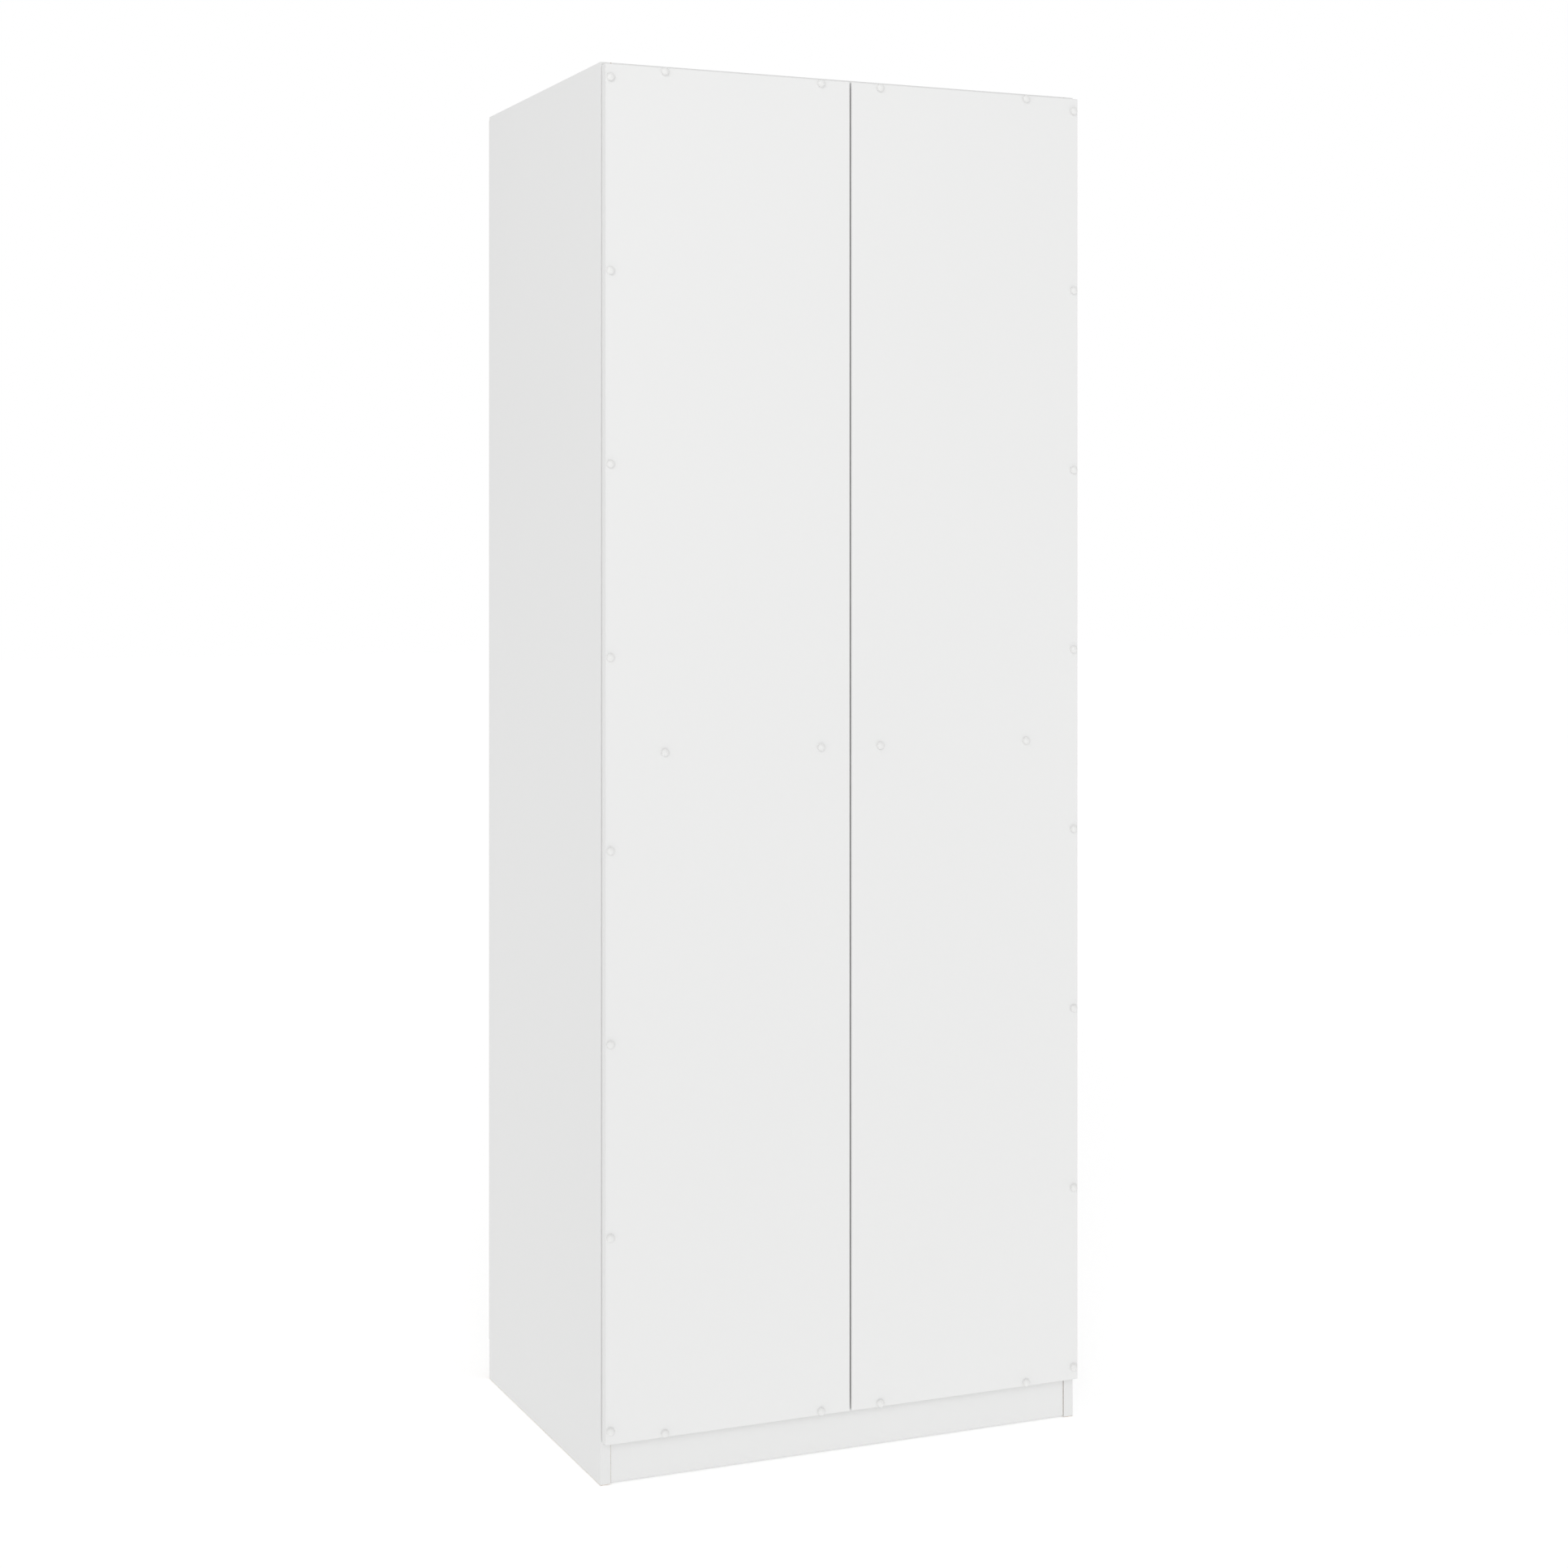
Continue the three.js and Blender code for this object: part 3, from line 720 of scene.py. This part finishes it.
CUP_INNER_RADIUS = 0.0155
CUP_FLOOR = 0.001
CUP_FLOOR_ROUNDING = 0.0012
CUP_TAPER = 0.001
RIM_RADIUS = 0.019
RIM_LIFT = 0.0003
RIM_STRAIGHT = 0.0005
RIM_ROUNDING = 0.0004
RIM_THICKNESS = 0.0008
RIM_BACK = RIM_LIFT + RIM_THICKNESS
HOLLOW_HALF_LENGTH = 0.005
MOUTH_FLARE = 0.0005
WING_FROM_CUP = 0.0095
WING_HALF_WIDTH = 0.006
WING_HALF_HEIGHT = 0.028
WING_CORNER = 0.0055
WING_SCREW_SPACING = 0.045
SCREW_RADIUS = 0.0036
SCREW_CROWN = 0.0006
SCREW_SIDES = 24
NICKEL = (0.66, 0.65, 0.62, 1.0)

nickel = metal(
    "nickel_plate", NICKEL, -0.10,
    grain_scale=1800.0, roughness=0.24, gloss_spread=0.2, relief=0.00002,
)


def fuse(piece, other):
    """Joins another solid to the piece as one skin."""
    apply_modifier(piece, "BOOLEAN", operation="UNION", object=other, solver="EXACT")
    bpy.data.objects.remove(other)


def round_edges(piece, axis, radius, segments=5, beyond=None):
    """Rounds the edges that run along an axis, or those of them that pass a test on their ends."""
    make_active(piece)
    bpy.ops.object.mode_set(mode="EDIT")
    bpy.ops.mesh.select_mode(type="EDGE")
    bpy.ops.mesh.select_all(action="DESELECT")
    bpy.ops.object.mode_set(mode="OBJECT")
    for edge in piece.data.edges:
        start, end = (piece.data.vertices[index].co for index in edge.vertices)
        runs_along = abs((end - start).normalized()[axis]) > 0.9
        edge.select = runs_along and (beyond is None or (beyond(start) and beyond(end)))
    bpy.ops.object.mode_set(mode="EDIT")
    bpy.ops.mesh.bevel(offset=radius, segments=segments, affect="EDGES")
    bpy.ops.object.mode_set(mode="OBJECT")


def make_screw(name, centre, out):
    """A flat screw head with a cross recess, standing slightly proud of what it holds."""
    centre, out = Vector(centre), Vector(out)
    screw = turn_on_lathe(name, centre, out, [
        (-SCREW_CROWN, SCREW_RADIUS * 0.7), (0, SCREW_RADIUS), (SCREW_CROWN * 0.5, SCREW_RADIUS * 0.97),
        (SCREW_CROWN * 0.85, SCREW_RADIUS * 0.75), (SCREW_CROWN, SCREW_RADIUS * 0.4),
    ], SCREW_SIDES)
    cut_cross(screw, centre + out * SCREW_CROWN, out, SCREW_RADIUS)
    smooth(screw, 30)
    screw.data.materials.append(zinc_plate)
    return screw


def make_hinge_cup(name, centre, inward):
    """A dish with its rim and wings, opening towards the back of the cabinet."""
    floor = -CUP_DEPTH + CUP_FLOOR
    mouth = CUP_INNER_RADIUS + MOUTH_FLARE
    dish = turn_on_lathe(name, centre, (0, 1, 0), [
        (-CUP_DEPTH, CUP_RADIUS * 0.92), (-CUP_DEPTH + CUP_TAPER, CUP_RADIUS),
        (RIM_LIFT, CUP_RADIUS), (RIM_LIFT, RIM_RADIUS),
        (RIM_LIFT + RIM_STRAIGHT, RIM_RADIUS), (RIM_BACK, RIM_RADIUS - RIM_ROUNDING),
        (RIM_BACK, mouth), (RIM_BACK - RIM_ROUNDING, CUP_INNER_RADIUS),
        (floor + CUP_FLOOR_ROUNDING, CUP_INNER_RADIUS), (floor, CUP_INNER_RADIUS * 0.9),
    ], CUP_SIDES)
    middle = centre + Vector((inward * WING_FROM_CUP, 0, 0))
    half = Vector((WING_HALF_WIDTH, 0, WING_HALF_HEIGHT))
    wings = add_block(
        "wings", middle - half + Vector((0, RIM_LIFT, 0)), middle + half + Vector((0, RIM_BACK, 0))
    )
    round_edges(wings, 1, WING_CORNER)
    hollow = turn_on_lathe(
        "hollow", centre, (0, 1, 0), [(-HOLLOW_HALF_LENGTH, mouth), (HOLLOW_HALF_LENGTH, mouth)],
        CUP_SIDES,
    )
    take_away(wings, hollow)
    fuse(dish, wings)
    smooth(dish, 30)
    dish.data.materials.append(nickel)
    return dish


# The first cup, arm and link of each side are built once and copied, each copy with a mesh of its own,
# to the other hinges.

loose_screw = make_screw("wing_screw", (0, 0, 0), (0, 1, 0))
for side, inward in (("left", 1), ("right", -1)):
    start = cup_centre(side, 1)
    first_cup = make_hinge_cup(f"{side}_hinge_dish_1", start, inward)
    for index in range(1, HINGES_PER_DOOR + 1):
        centre = cup_centre(side, index)
        shift = centre - start
        cup = first_cup if index == 1 else copy_piece(first_cup, f"{side}_hinge_dish_{index}", shift)
        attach(cup, f"{side}_door")
        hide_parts(f"{side}_hinge_cup_{index}")
        for number, sign in enumerate((-1, 1), 1):
            place = centre + Vector((inward * WING_FROM_CUP, RIM_BACK, sign * WING_SCREW_SPACING / 2))
            screw = copy_piece(loose_screw, f"{side}_hinge_{index}_wing_screw_{number}", place)
            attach(screw, f"{side}_door")
bpy.data.objects.remove(loose_screw)


# ---- Hinge arms ------------------------------------------------------------------------------------
# Each hinge is carried by a plate on the side panel, held by two screws in the row of holes. A channel
# of pressed steel is fixed on it and ends in two cheeks that hold the pin of the link.

ARM_PIN_FROM_SIDE = 0.020
ARM_PIN_FROM_FRONT = -0.005
ARM_PIN_RADIUS = 0.0015
ARM_PIN_CLEARANCE = 0.0003
EYE_RADIUS = 0.003
EYE_SIDES = 24
CHEEK_THICKNESS = 0.002
CHEEK_BACK = 0.007
PLATE_THICKNESS = 0.002
PLATE_FRONT = 0.021
PLATE_BACK = 0.053
PLATE_HALF_HEIGHT = 0.022
PLATE_CORNER = 0.006
ARM_FRONT = 0.005
ARM_BACK = 0.058
ARM_WIDTH = 0.0079
ARM_SUNK = 0.0002           # the channel bites this far into the plate
ARM_SHOULDER = 0.0022
ARM_EDGE_ROUNDING = 0.00025
ADJUSTER_FRONT = 0.030
ADJUSTER_BACK = 0.049
front_plane = cabinet_low.y


def at_panel(side, from_side, from_front, z):
    """A point given by its distance from the outer side and from the carcass front."""
    x = cabinet_low.x + from_side if side == "left" else cabinet_high.x - from_side
    return Vector((x, front_plane + from_front, z))


def block_at_panel(name, side, across, along, up):
    """A block between two distances from the outer side, two from the front, and two heights."""
    corners = [at_panel(side, across[end], along[end], up[end]) for end in (0, 1)]
    low = Vector([min(pair) for pair in zip(*corners)])
    high = Vector([max(pair) for pair in zip(*corners)])
    return add_block(name, low, high)


def make_cheek(side, across, up):
    """A cheek that narrows from the channel to the round eye for the link pin."""
    cheek = block_at_panel("cheek", side, across, (ARM_PIN_FROM_FRONT, CHEEK_BACK), up)
    pin = at_panel(side, ARM_PIN_FROM_SIDE, ARM_PIN_FROM_FRONT, sum(up) / 2)
    middle_x = at_panel(side, sum(across) / 2, 0, 0).x
    for vertex in cheek.data.vertices:
        if vertex.co.y < pin.y + EYE_RADIUS:
            vertex.co.x = pin.x + math.copysign(EYE_RADIUS, vertex.co.x - middle_x)
    half = (up[1] - up[0]) / 2
    eye = turn_on_lathe("eye", pin, (0, 0, 1), [(-half, EYE_RADIUS), (half, EYE_RADIUS)], EYE_SIDES)
    fuse(cheek, eye)
    return cheek


def make_hinge_arm(name, side, inward):
    """The lowest arm of one side, and how far its plate and its channel reach from the outer side."""
    low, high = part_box(f"{side}_hinge_arm_1")
    rivet_low, rivet_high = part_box(f"{side}_hinge_link_1")
    middle_z = (low.z + high.z) / 2
    half_arm = (rivet_high.z - rivet_low.z) / 2
    half_slot = half_arm - CHEEK_THICKNESS
    plate_start = low.x - cabinet_low.x if inward > 0 else cabinet_high.x - high.x
    plate_end = plate_start + PLATE_THICKNESS
    arm_start = plate_end - ARM_SUNK
    arm_end = arm_start + ARM_WIDTH
    plate = block_at_panel(
        name, side, (plate_start, plate_end), (PLATE_FRONT, PLATE_BACK),
        (middle_z - PLATE_HALF_HEIGHT, middle_z + PLATE_HALF_HEIGHT),
    )
    round_edges(plate, 0, PLATE_CORNER)
    channel = block_at_panel(
        "channel", side, (arm_start, arm_end), (ARM_FRONT, ARM_BACK),
        (middle_z - half_arm, middle_z + half_arm),
    )
    middle_x = at_panel(side, (arm_start + arm_end) / 2, 0, 0).x
    round_edges(channel, 1, ARM_SHOULDER, beyond=lambda point: (point.x - middle_x) * inward > 0)
    for up in ((middle_z - half_arm, middle_z - half_slot), (middle_z + half_slot, middle_z + half_arm)):
        fuse(channel, make_cheek(side, (arm_start, arm_end), up))
    pin_hole = ARM_PIN_RADIUS + ARM_PIN_CLEARANCE
    drill = turn_on_lathe(
        "drill", at_panel(side, ARM_PIN_FROM_SIDE, ARM_PIN_FROM_FRONT, middle_z), (0, 0, 1),
        [(-half_arm * 2, pin_hole), (half_arm * 2, pin_hole)], EYE_SIDES,
    )
    take_away(channel, drill)
    fuse(plate, channel)
    soften(plate, ARM_EDGE_ROUNDING)
    plate.data.materials.clear()
    plate.data.materials.append(nickel)
    return plate, plate_end, arm_end


for side, inward in (("left", 1), ("right", -1)):
    first_arm, plate_end, arm_end = make_hinge_arm(f"{side}_hinge_channel_1", side, inward)
    loose_screw = make_screw("arm_screw", (0, 0, 0), (inward, 0, 0))
    plate_middle = (PLATE_FRONT + PLATE_BACK) / 2
    screw_places = {
        "plate_screw_1": (plate_end, plate_middle, -HOLE_PITCH / 2),
        "plate_screw_2": (plate_end, plate_middle, HOLE_PITCH / 2),
        "adjuster_1": (arm_end, ADJUSTER_FRONT, 0),
        "adjuster_2": (arm_end, ADJUSTER_BACK, 0),
    }
    lowest_z = cup_centre(side, 1).z
    for index in range(1, HINGES_PER_DOOR + 1):
        hinge_z = cup_centre(side, index).z
        lift = (0, 0, hinge_z - lowest_z)
        arm = first_arm if index == 1 else copy_piece(first_arm, f"{side}_hinge_channel_{index}", lift)
        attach(arm, "cabinet")
        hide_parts(f"{side}_hinge_arm_{index}")
        for kind, (from_side, from_front, up) in screw_places.items():
            place = at_panel(side, from_side, from_front, hinge_z + up)
            screw = copy_piece(loose_screw, f"{side}_hinge_{index}_{kind}", place)
            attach(screw, "cabinet")
    bpy.data.objects.remove(loose_screw)


# ---- Hinge links -----------------------------------------------------------------------------------
# A bent strap of steel turns on a rivet in the cheeks of the arm and reaches round the rim of the cup.

LINK_CHORD = 0.0169
LINK_SAGITTA = 0.006
LINK_TILT = math.radians(-15)
LINK_THICKNESS = 0.002
LINK_HALF_HEIGHT = 0.004
LINK_STEPS = 14
LINK_EDGE_ROUNDING = 0.0002
ROLL_SIDES = 20
RIVET_CHAMFER = 0.0003
MERGE_DISTANCE = 0.00001


def make_hinge_link(name, side, inward):
    """The lowest link of one side: a strap bent on an arc from its rivet to a roll in the cup."""
    low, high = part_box(f"{side}_hinge_link_1")
    middle_z, half_rivet = (low.z + high.z) / 2, (high.z - low.z) / 2
    pin = at_panel(side, ARM_PIN_FROM_SIDE, ARM_PIN_FROM_FRONT, middle_z)
    along = Vector((inward * math.cos(LINK_TILT), math.sin(LINK_TILT), 0))
    across = Vector((-inward * math.sin(LINK_TILT), math.cos(LINK_TILT), 0))
    tip = pin + along * LINK_CHORD
    radius = (LINK_CHORD ** 2 / 4 + LINK_SAGITTA ** 2) / (2 * LINK_SAGITTA)
    centre = pin + along * (LINK_CHORD / 2) + across * (LINK_SAGITTA - radius)
    sweep = 2 * math.asin(LINK_CHORD / 2 / radius)
    spoke = (pin - centre).normalized()
    clear_selection()
    bpy.ops.mesh.primitive_plane_add(
        size=1.0, location=pin, rotation=(math.pi / 2, 0, math.atan2(spoke.y, spoke.x))
    )
    bpy.context.object.scale = (LINK_THICKNESS, LINK_HALF_HEIGHT * 2, 1)
    strap = settle(name)
    bpy.ops.object.mode_set(mode="EDIT")
    bpy.ops.mesh.select_all(action="SELECT")
    bpy.ops.mesh.spin(steps=LINK_STEPS, angle=inward * sweep, center=centre, axis=(0, 0, 1))
    bpy.ops.mesh.select_all(action="SELECT")
    bpy.ops.mesh.remove_doubles(threshold=MERGE_DISTANCE)
    bpy.ops.mesh.normals_make_consistent(inside=False)
    bpy.ops.object.mode_set(mode="OBJECT")
    half = LINK_HALF_HEIGHT
    eye = turn_on_lathe("eye", pin, (0, 0, 1), [(-half, EYE_RADIUS), (half, EYE_RADIUS)], EYE_SIDES)
    fuse(strap, eye)
    roll = turn_on_lathe(
        "roll", tip, (0, 0, 1), [(-half, ARM_PIN_RADIUS), (half, ARM_PIN_RADIUS)], ROLL_SIDES
    )
    fuse(strap, roll)
    soften(strap, LINK_EDGE_ROUNDING)
    strap.data.materials.clear()
    rivet = turn_on_lathe("rivet", pin, (0, 0, 1), [
        (-half_rivet, ARM_PIN_RADIUS * 0.8), (-half_rivet + RIVET_CHAMFER, ARM_PIN_RADIUS),
        (half_rivet - RIVET_CHAMFER, ARM_PIN_RADIUS), (half_rivet, ARM_PIN_RADIUS * 0.8),
    ], EYE_SIDES)
    strap = join_all([strap, rivet])
    smooth(strap)
    strap.data.materials.append(nickel)
    return strap


for side, inward in (("left", 1), ("right", -1)):
    first_link = make_hinge_link(f"{side}_hinge_strap_1", side, inward)
    lowest_z = cup_centre(side, 1).z
    for index in range(1, HINGES_PER_DOOR + 1):
        lift = (0, 0, cup_centre(side, index).z - lowest_z)
        strap = first_link if index == 1 else copy_piece(first_link, f"{side}_hinge_strap_{index}", lift)
        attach(strap, f"{side}_hinge_links")
        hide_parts(f"{side}_hinge_link_{index}")


# ---- Push latches ----------------------------------------------------------------------------------
# A moulded housing is screwed under the front edge of the fixed shelf behind each door. Its plunger
# stands against the door's back: a push frees it, and it pushes the door open.

PLUNGER_RADIUS = 0.004
PLUNGER_CHAMFER = 0.0004
PLUNGER_TAIL = 0.0006
PAD_THICKNESS = 0.002
PAD_RADIUS = 0.94           # of the plunger's radius, as the next two
PAD_SHOULDER = 0.85
PAD_FACE = 0.6
PAD_ROUNDING = (0.0003, 0.0008)
BORE_CLEARANCE = 0.0004
BORE_LEAD_IN = 0.001
BORE_MOUTH_FLARE = 0.0012
BORE_END_ROOM = 0.009
LATCH_CORNER = 0.0018
LATCH_EDGE_ROUNDING = 0.00036
EAR_REACH = 0.010
EAR_THICKNESS = 0.0022
EAR_LENGTH = 0.022
EAR_CORNER = 0.0044
PAD_GREY = (0.22, 0.22, 0.22, 1.0)

rubber = grained(
    "latch_pad_rubber", PAD_GREY, -0.1, 0.1,
    grain_scale=1200.0, roughness=0.75, gloss_spread=0.1, relief=0.00005,
)


def make_latch_case(side, rod_low, rod_high):
    """The housing: a bored block with two ears, fixed by a screw in each ear."""
    low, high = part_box(f"{side}_latch_housing")
    case = add_block(f"{side}_latch_case", low, high)
    round_edges(case, 1, LATCH_CORNER, 4)
    middle_y = (low.y + high.y) / 2
    ear_face = high.z - EAR_THICKNESS
    ears = add_block(
        "ears", (low.x - EAR_REACH, middle_y - EAR_LENGTH / 2, ear_face),
        (high.x + EAR_REACH, middle_y + EAR_LENGTH / 2, high.z),
    )
    round_edges(ears, 2, EAR_CORNER)
    fuse(case, ears)
    axis = (rod_low + rod_high) / 2
    bore_radius = PLUNGER_RADIUS + BORE_CLEARANCE
    bore = turn_on_lathe("bore", (axis.x, low.y, axis.z), (0, 1, 0), [
        (-BORE_LEAD_IN, bore_radius + BORE_MOUTH_FLARE), (BORE_MOUTH_FLARE, bore_radius),
        (rod_high.y - low.y + BORE_END_ROOM, bore_radius),
    ])
    take_away(case, bore)
    soften(case, LATCH_EDGE_ROUNDING)
    case.data.materials.clear()
    case.data.materials.append(white_plastic)
    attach(case, "cabinet")
    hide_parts(f"{side}_latch_housing")
    for number, x in enumerate((low.x - EAR_REACH / 2, high.x + EAR_REACH / 2), 1):
        screw = make_screw(f"{side}_latch_screw_{number}", (x, middle_y, ear_face), (0, 0, -1))
        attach(screw, "cabinet")


def make_latch_plunger(side, rod_low, rod_high):
    """The sprung rod with a rubber pad on its tip."""
    tip = ((rod_low.x + rod_high.x) / 2, rod_low.y, (rod_low.z + rod_high.z) / 2)
    length = rod_high.y - rod_low.y
    rod = turn_on_lathe(f"{side}_latch_rod", tip, (0, 1, 0), [
        (PAD_THICKNESS, PLUNGER_RADIUS * 0.9), (PAD_THICKNESS + PLUNGER_CHAMFER, PLUNGER_RADIUS),
        (length - PLUNGER_TAIL, PLUNGER_RADIUS), (length, PLUNGER_RADIUS * 0.85),
    ])
    smooth(rod)
    rod.data.materials.append(white_plastic)
    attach(rod, f"{side}_latch_plunger")
    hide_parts(f"{side}_latch_plunger")
    pad = turn_on_lathe(f"{side}_latch_pad", tip, (0, 1, 0), [
        (0, PLUNGER_RADIUS * PAD_FACE), (PAD_ROUNDING[0], PLUNGER_RADIUS * PAD_SHOULDER),
        (PAD_ROUNDING[1], PLUNGER_RADIUS * PAD_RADIUS), (PAD_THICKNESS, PLUNGER_RADIUS * PAD_RADIUS),
    ])
    smooth(pad, 40)
    pad.data.materials.append(rubber)
    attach(pad, f"{side}_latch_plunger")


for side in ("left", "right"):
    make_latch_case(side, *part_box(f"{side}_latch_plunger"))
    make_latch_plunger(side, *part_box(f"{side}_latch_plunger"))


# ---- Studio ----------------------------------------------------------------------------------------
# A seamless white floor, lit from below as a light table is, with soft light from all sides, one broad
# lamp from the front left and a softbox above it, aimed at the top of the cabinet. The camera stands
# level at the left front, at chest height.

FLOOR_SIZE = 60.0
FLOOR_WHITE = (0.98, 0.98, 0.98, 1.0)
FLOOR_GLOW = 0.25
SURROUND_STRENGTH = 0.716
LAMP_STRENGTH = 0.53
LAMP_SPREAD = math.radians(30)
LAMP_HEIGHT_ANGLE = math.radians(25)
SOFTBOX_POWER = 1.2
SOFTBOX_SIZE = 1.6
SOFTBOX_SPREAD = math.radians(50)
SOFTBOX_PLACE = Vector((-2.6, -2.4, 3.2))
SOFTBOX_AIM = Vector((-0.2, -0.27, 2.05))
CAMERA_PLACE = (-1.721, -4.001, 1.390)
CAMERA_YAW = math.radians(23.43)
CAMERA_LENS = 61.21
CAMERA_SHIFT = -0.1507

clear_selection()
bpy.ops.mesh.primitive_plane_add(size=FLOOR_SIZE, location=(0, 0, 0))
floor = bpy.context.object
floor.name = "studio_floor"
floor_paint, _, _, floor_shader = new_material("studio_floor_paint")
floor_shader.inputs["Base Color"].default_value = FLOOR_WHITE
floor_shader.inputs["Roughness"].default_value = 0.9
floor_shader.inputs["Specular IOR Level"].default_value = 0.0
floor_shader.inputs["Emission Color"].default_value = FLOOR_WHITE
floor_shader.inputs["Emission Strength"].default_value = FLOOR_GLOW
floor.data.materials.append(floor_paint)

world = bpy.data.worlds.new("studio")
world.use_nodes = True
nodes, link = world.node_tree.nodes, world.node_tree.links.new
surround = nodes["Background"]
surround.inputs["Color"].default_value = (1.0, 1.0, 1.0, 1.0)
rays = nodes.new("ShaderNodeLightPath")
strength = nodes.new("ShaderNodeMapRange")
strength.inputs["To Min"].default_value = SURROUND_STRENGTH
strength.inputs["To Max"].default_value = 1.0
link(rays.outputs["Is Camera Ray"], strength.inputs["Value"])
link(strength.outputs["Result"], surround.inputs["Strength"])
bpy.context.scene.world = world

bpy.ops.object.light_add(
    type="SUN", location=(-2, -4, 5), rotation=(math.pi / 2 - LAMP_HEIGHT_ANGLE, 0, -CAMERA_YAW)
)
lamp = bpy.context.object
lamp.name = "soft_lamp"
lamp.data.energy = LAMP_STRENGTH
lamp.data.angle = LAMP_SPREAD

bpy.ops.object.light_add(
    type="AREA", location=SOFTBOX_PLACE,
    rotation=(SOFTBOX_AIM - SOFTBOX_PLACE).to_track_quat("-Z", "Y").to_euler(),
)
softbox = bpy.context.object
softbox.name = "upper_softbox"
softbox.data.energy = SOFTBOX_POWER
softbox.data.size = SOFTBOX_SIZE
softbox.data.spread = SOFTBOX_SPREAD

camera_data = bpy.data.cameras.new("studio_camera")
camera_data.sensor_width = 36.0
camera_data.lens = CAMERA_LENS
camera_data.shift_y = CAMERA_SHIFT
camera = bpy.data.objects.new("studio_camera", camera_data)
bpy.context.scene.collection.objects.link(camera)
camera.location = CAMERA_PLACE
camera.rotation_euler = (math.pi / 2, 0, -CAMERA_YAW)
bpy.context.scene.camera = camera
bpy.context.scene.view_settings.view_transform = "Standard"
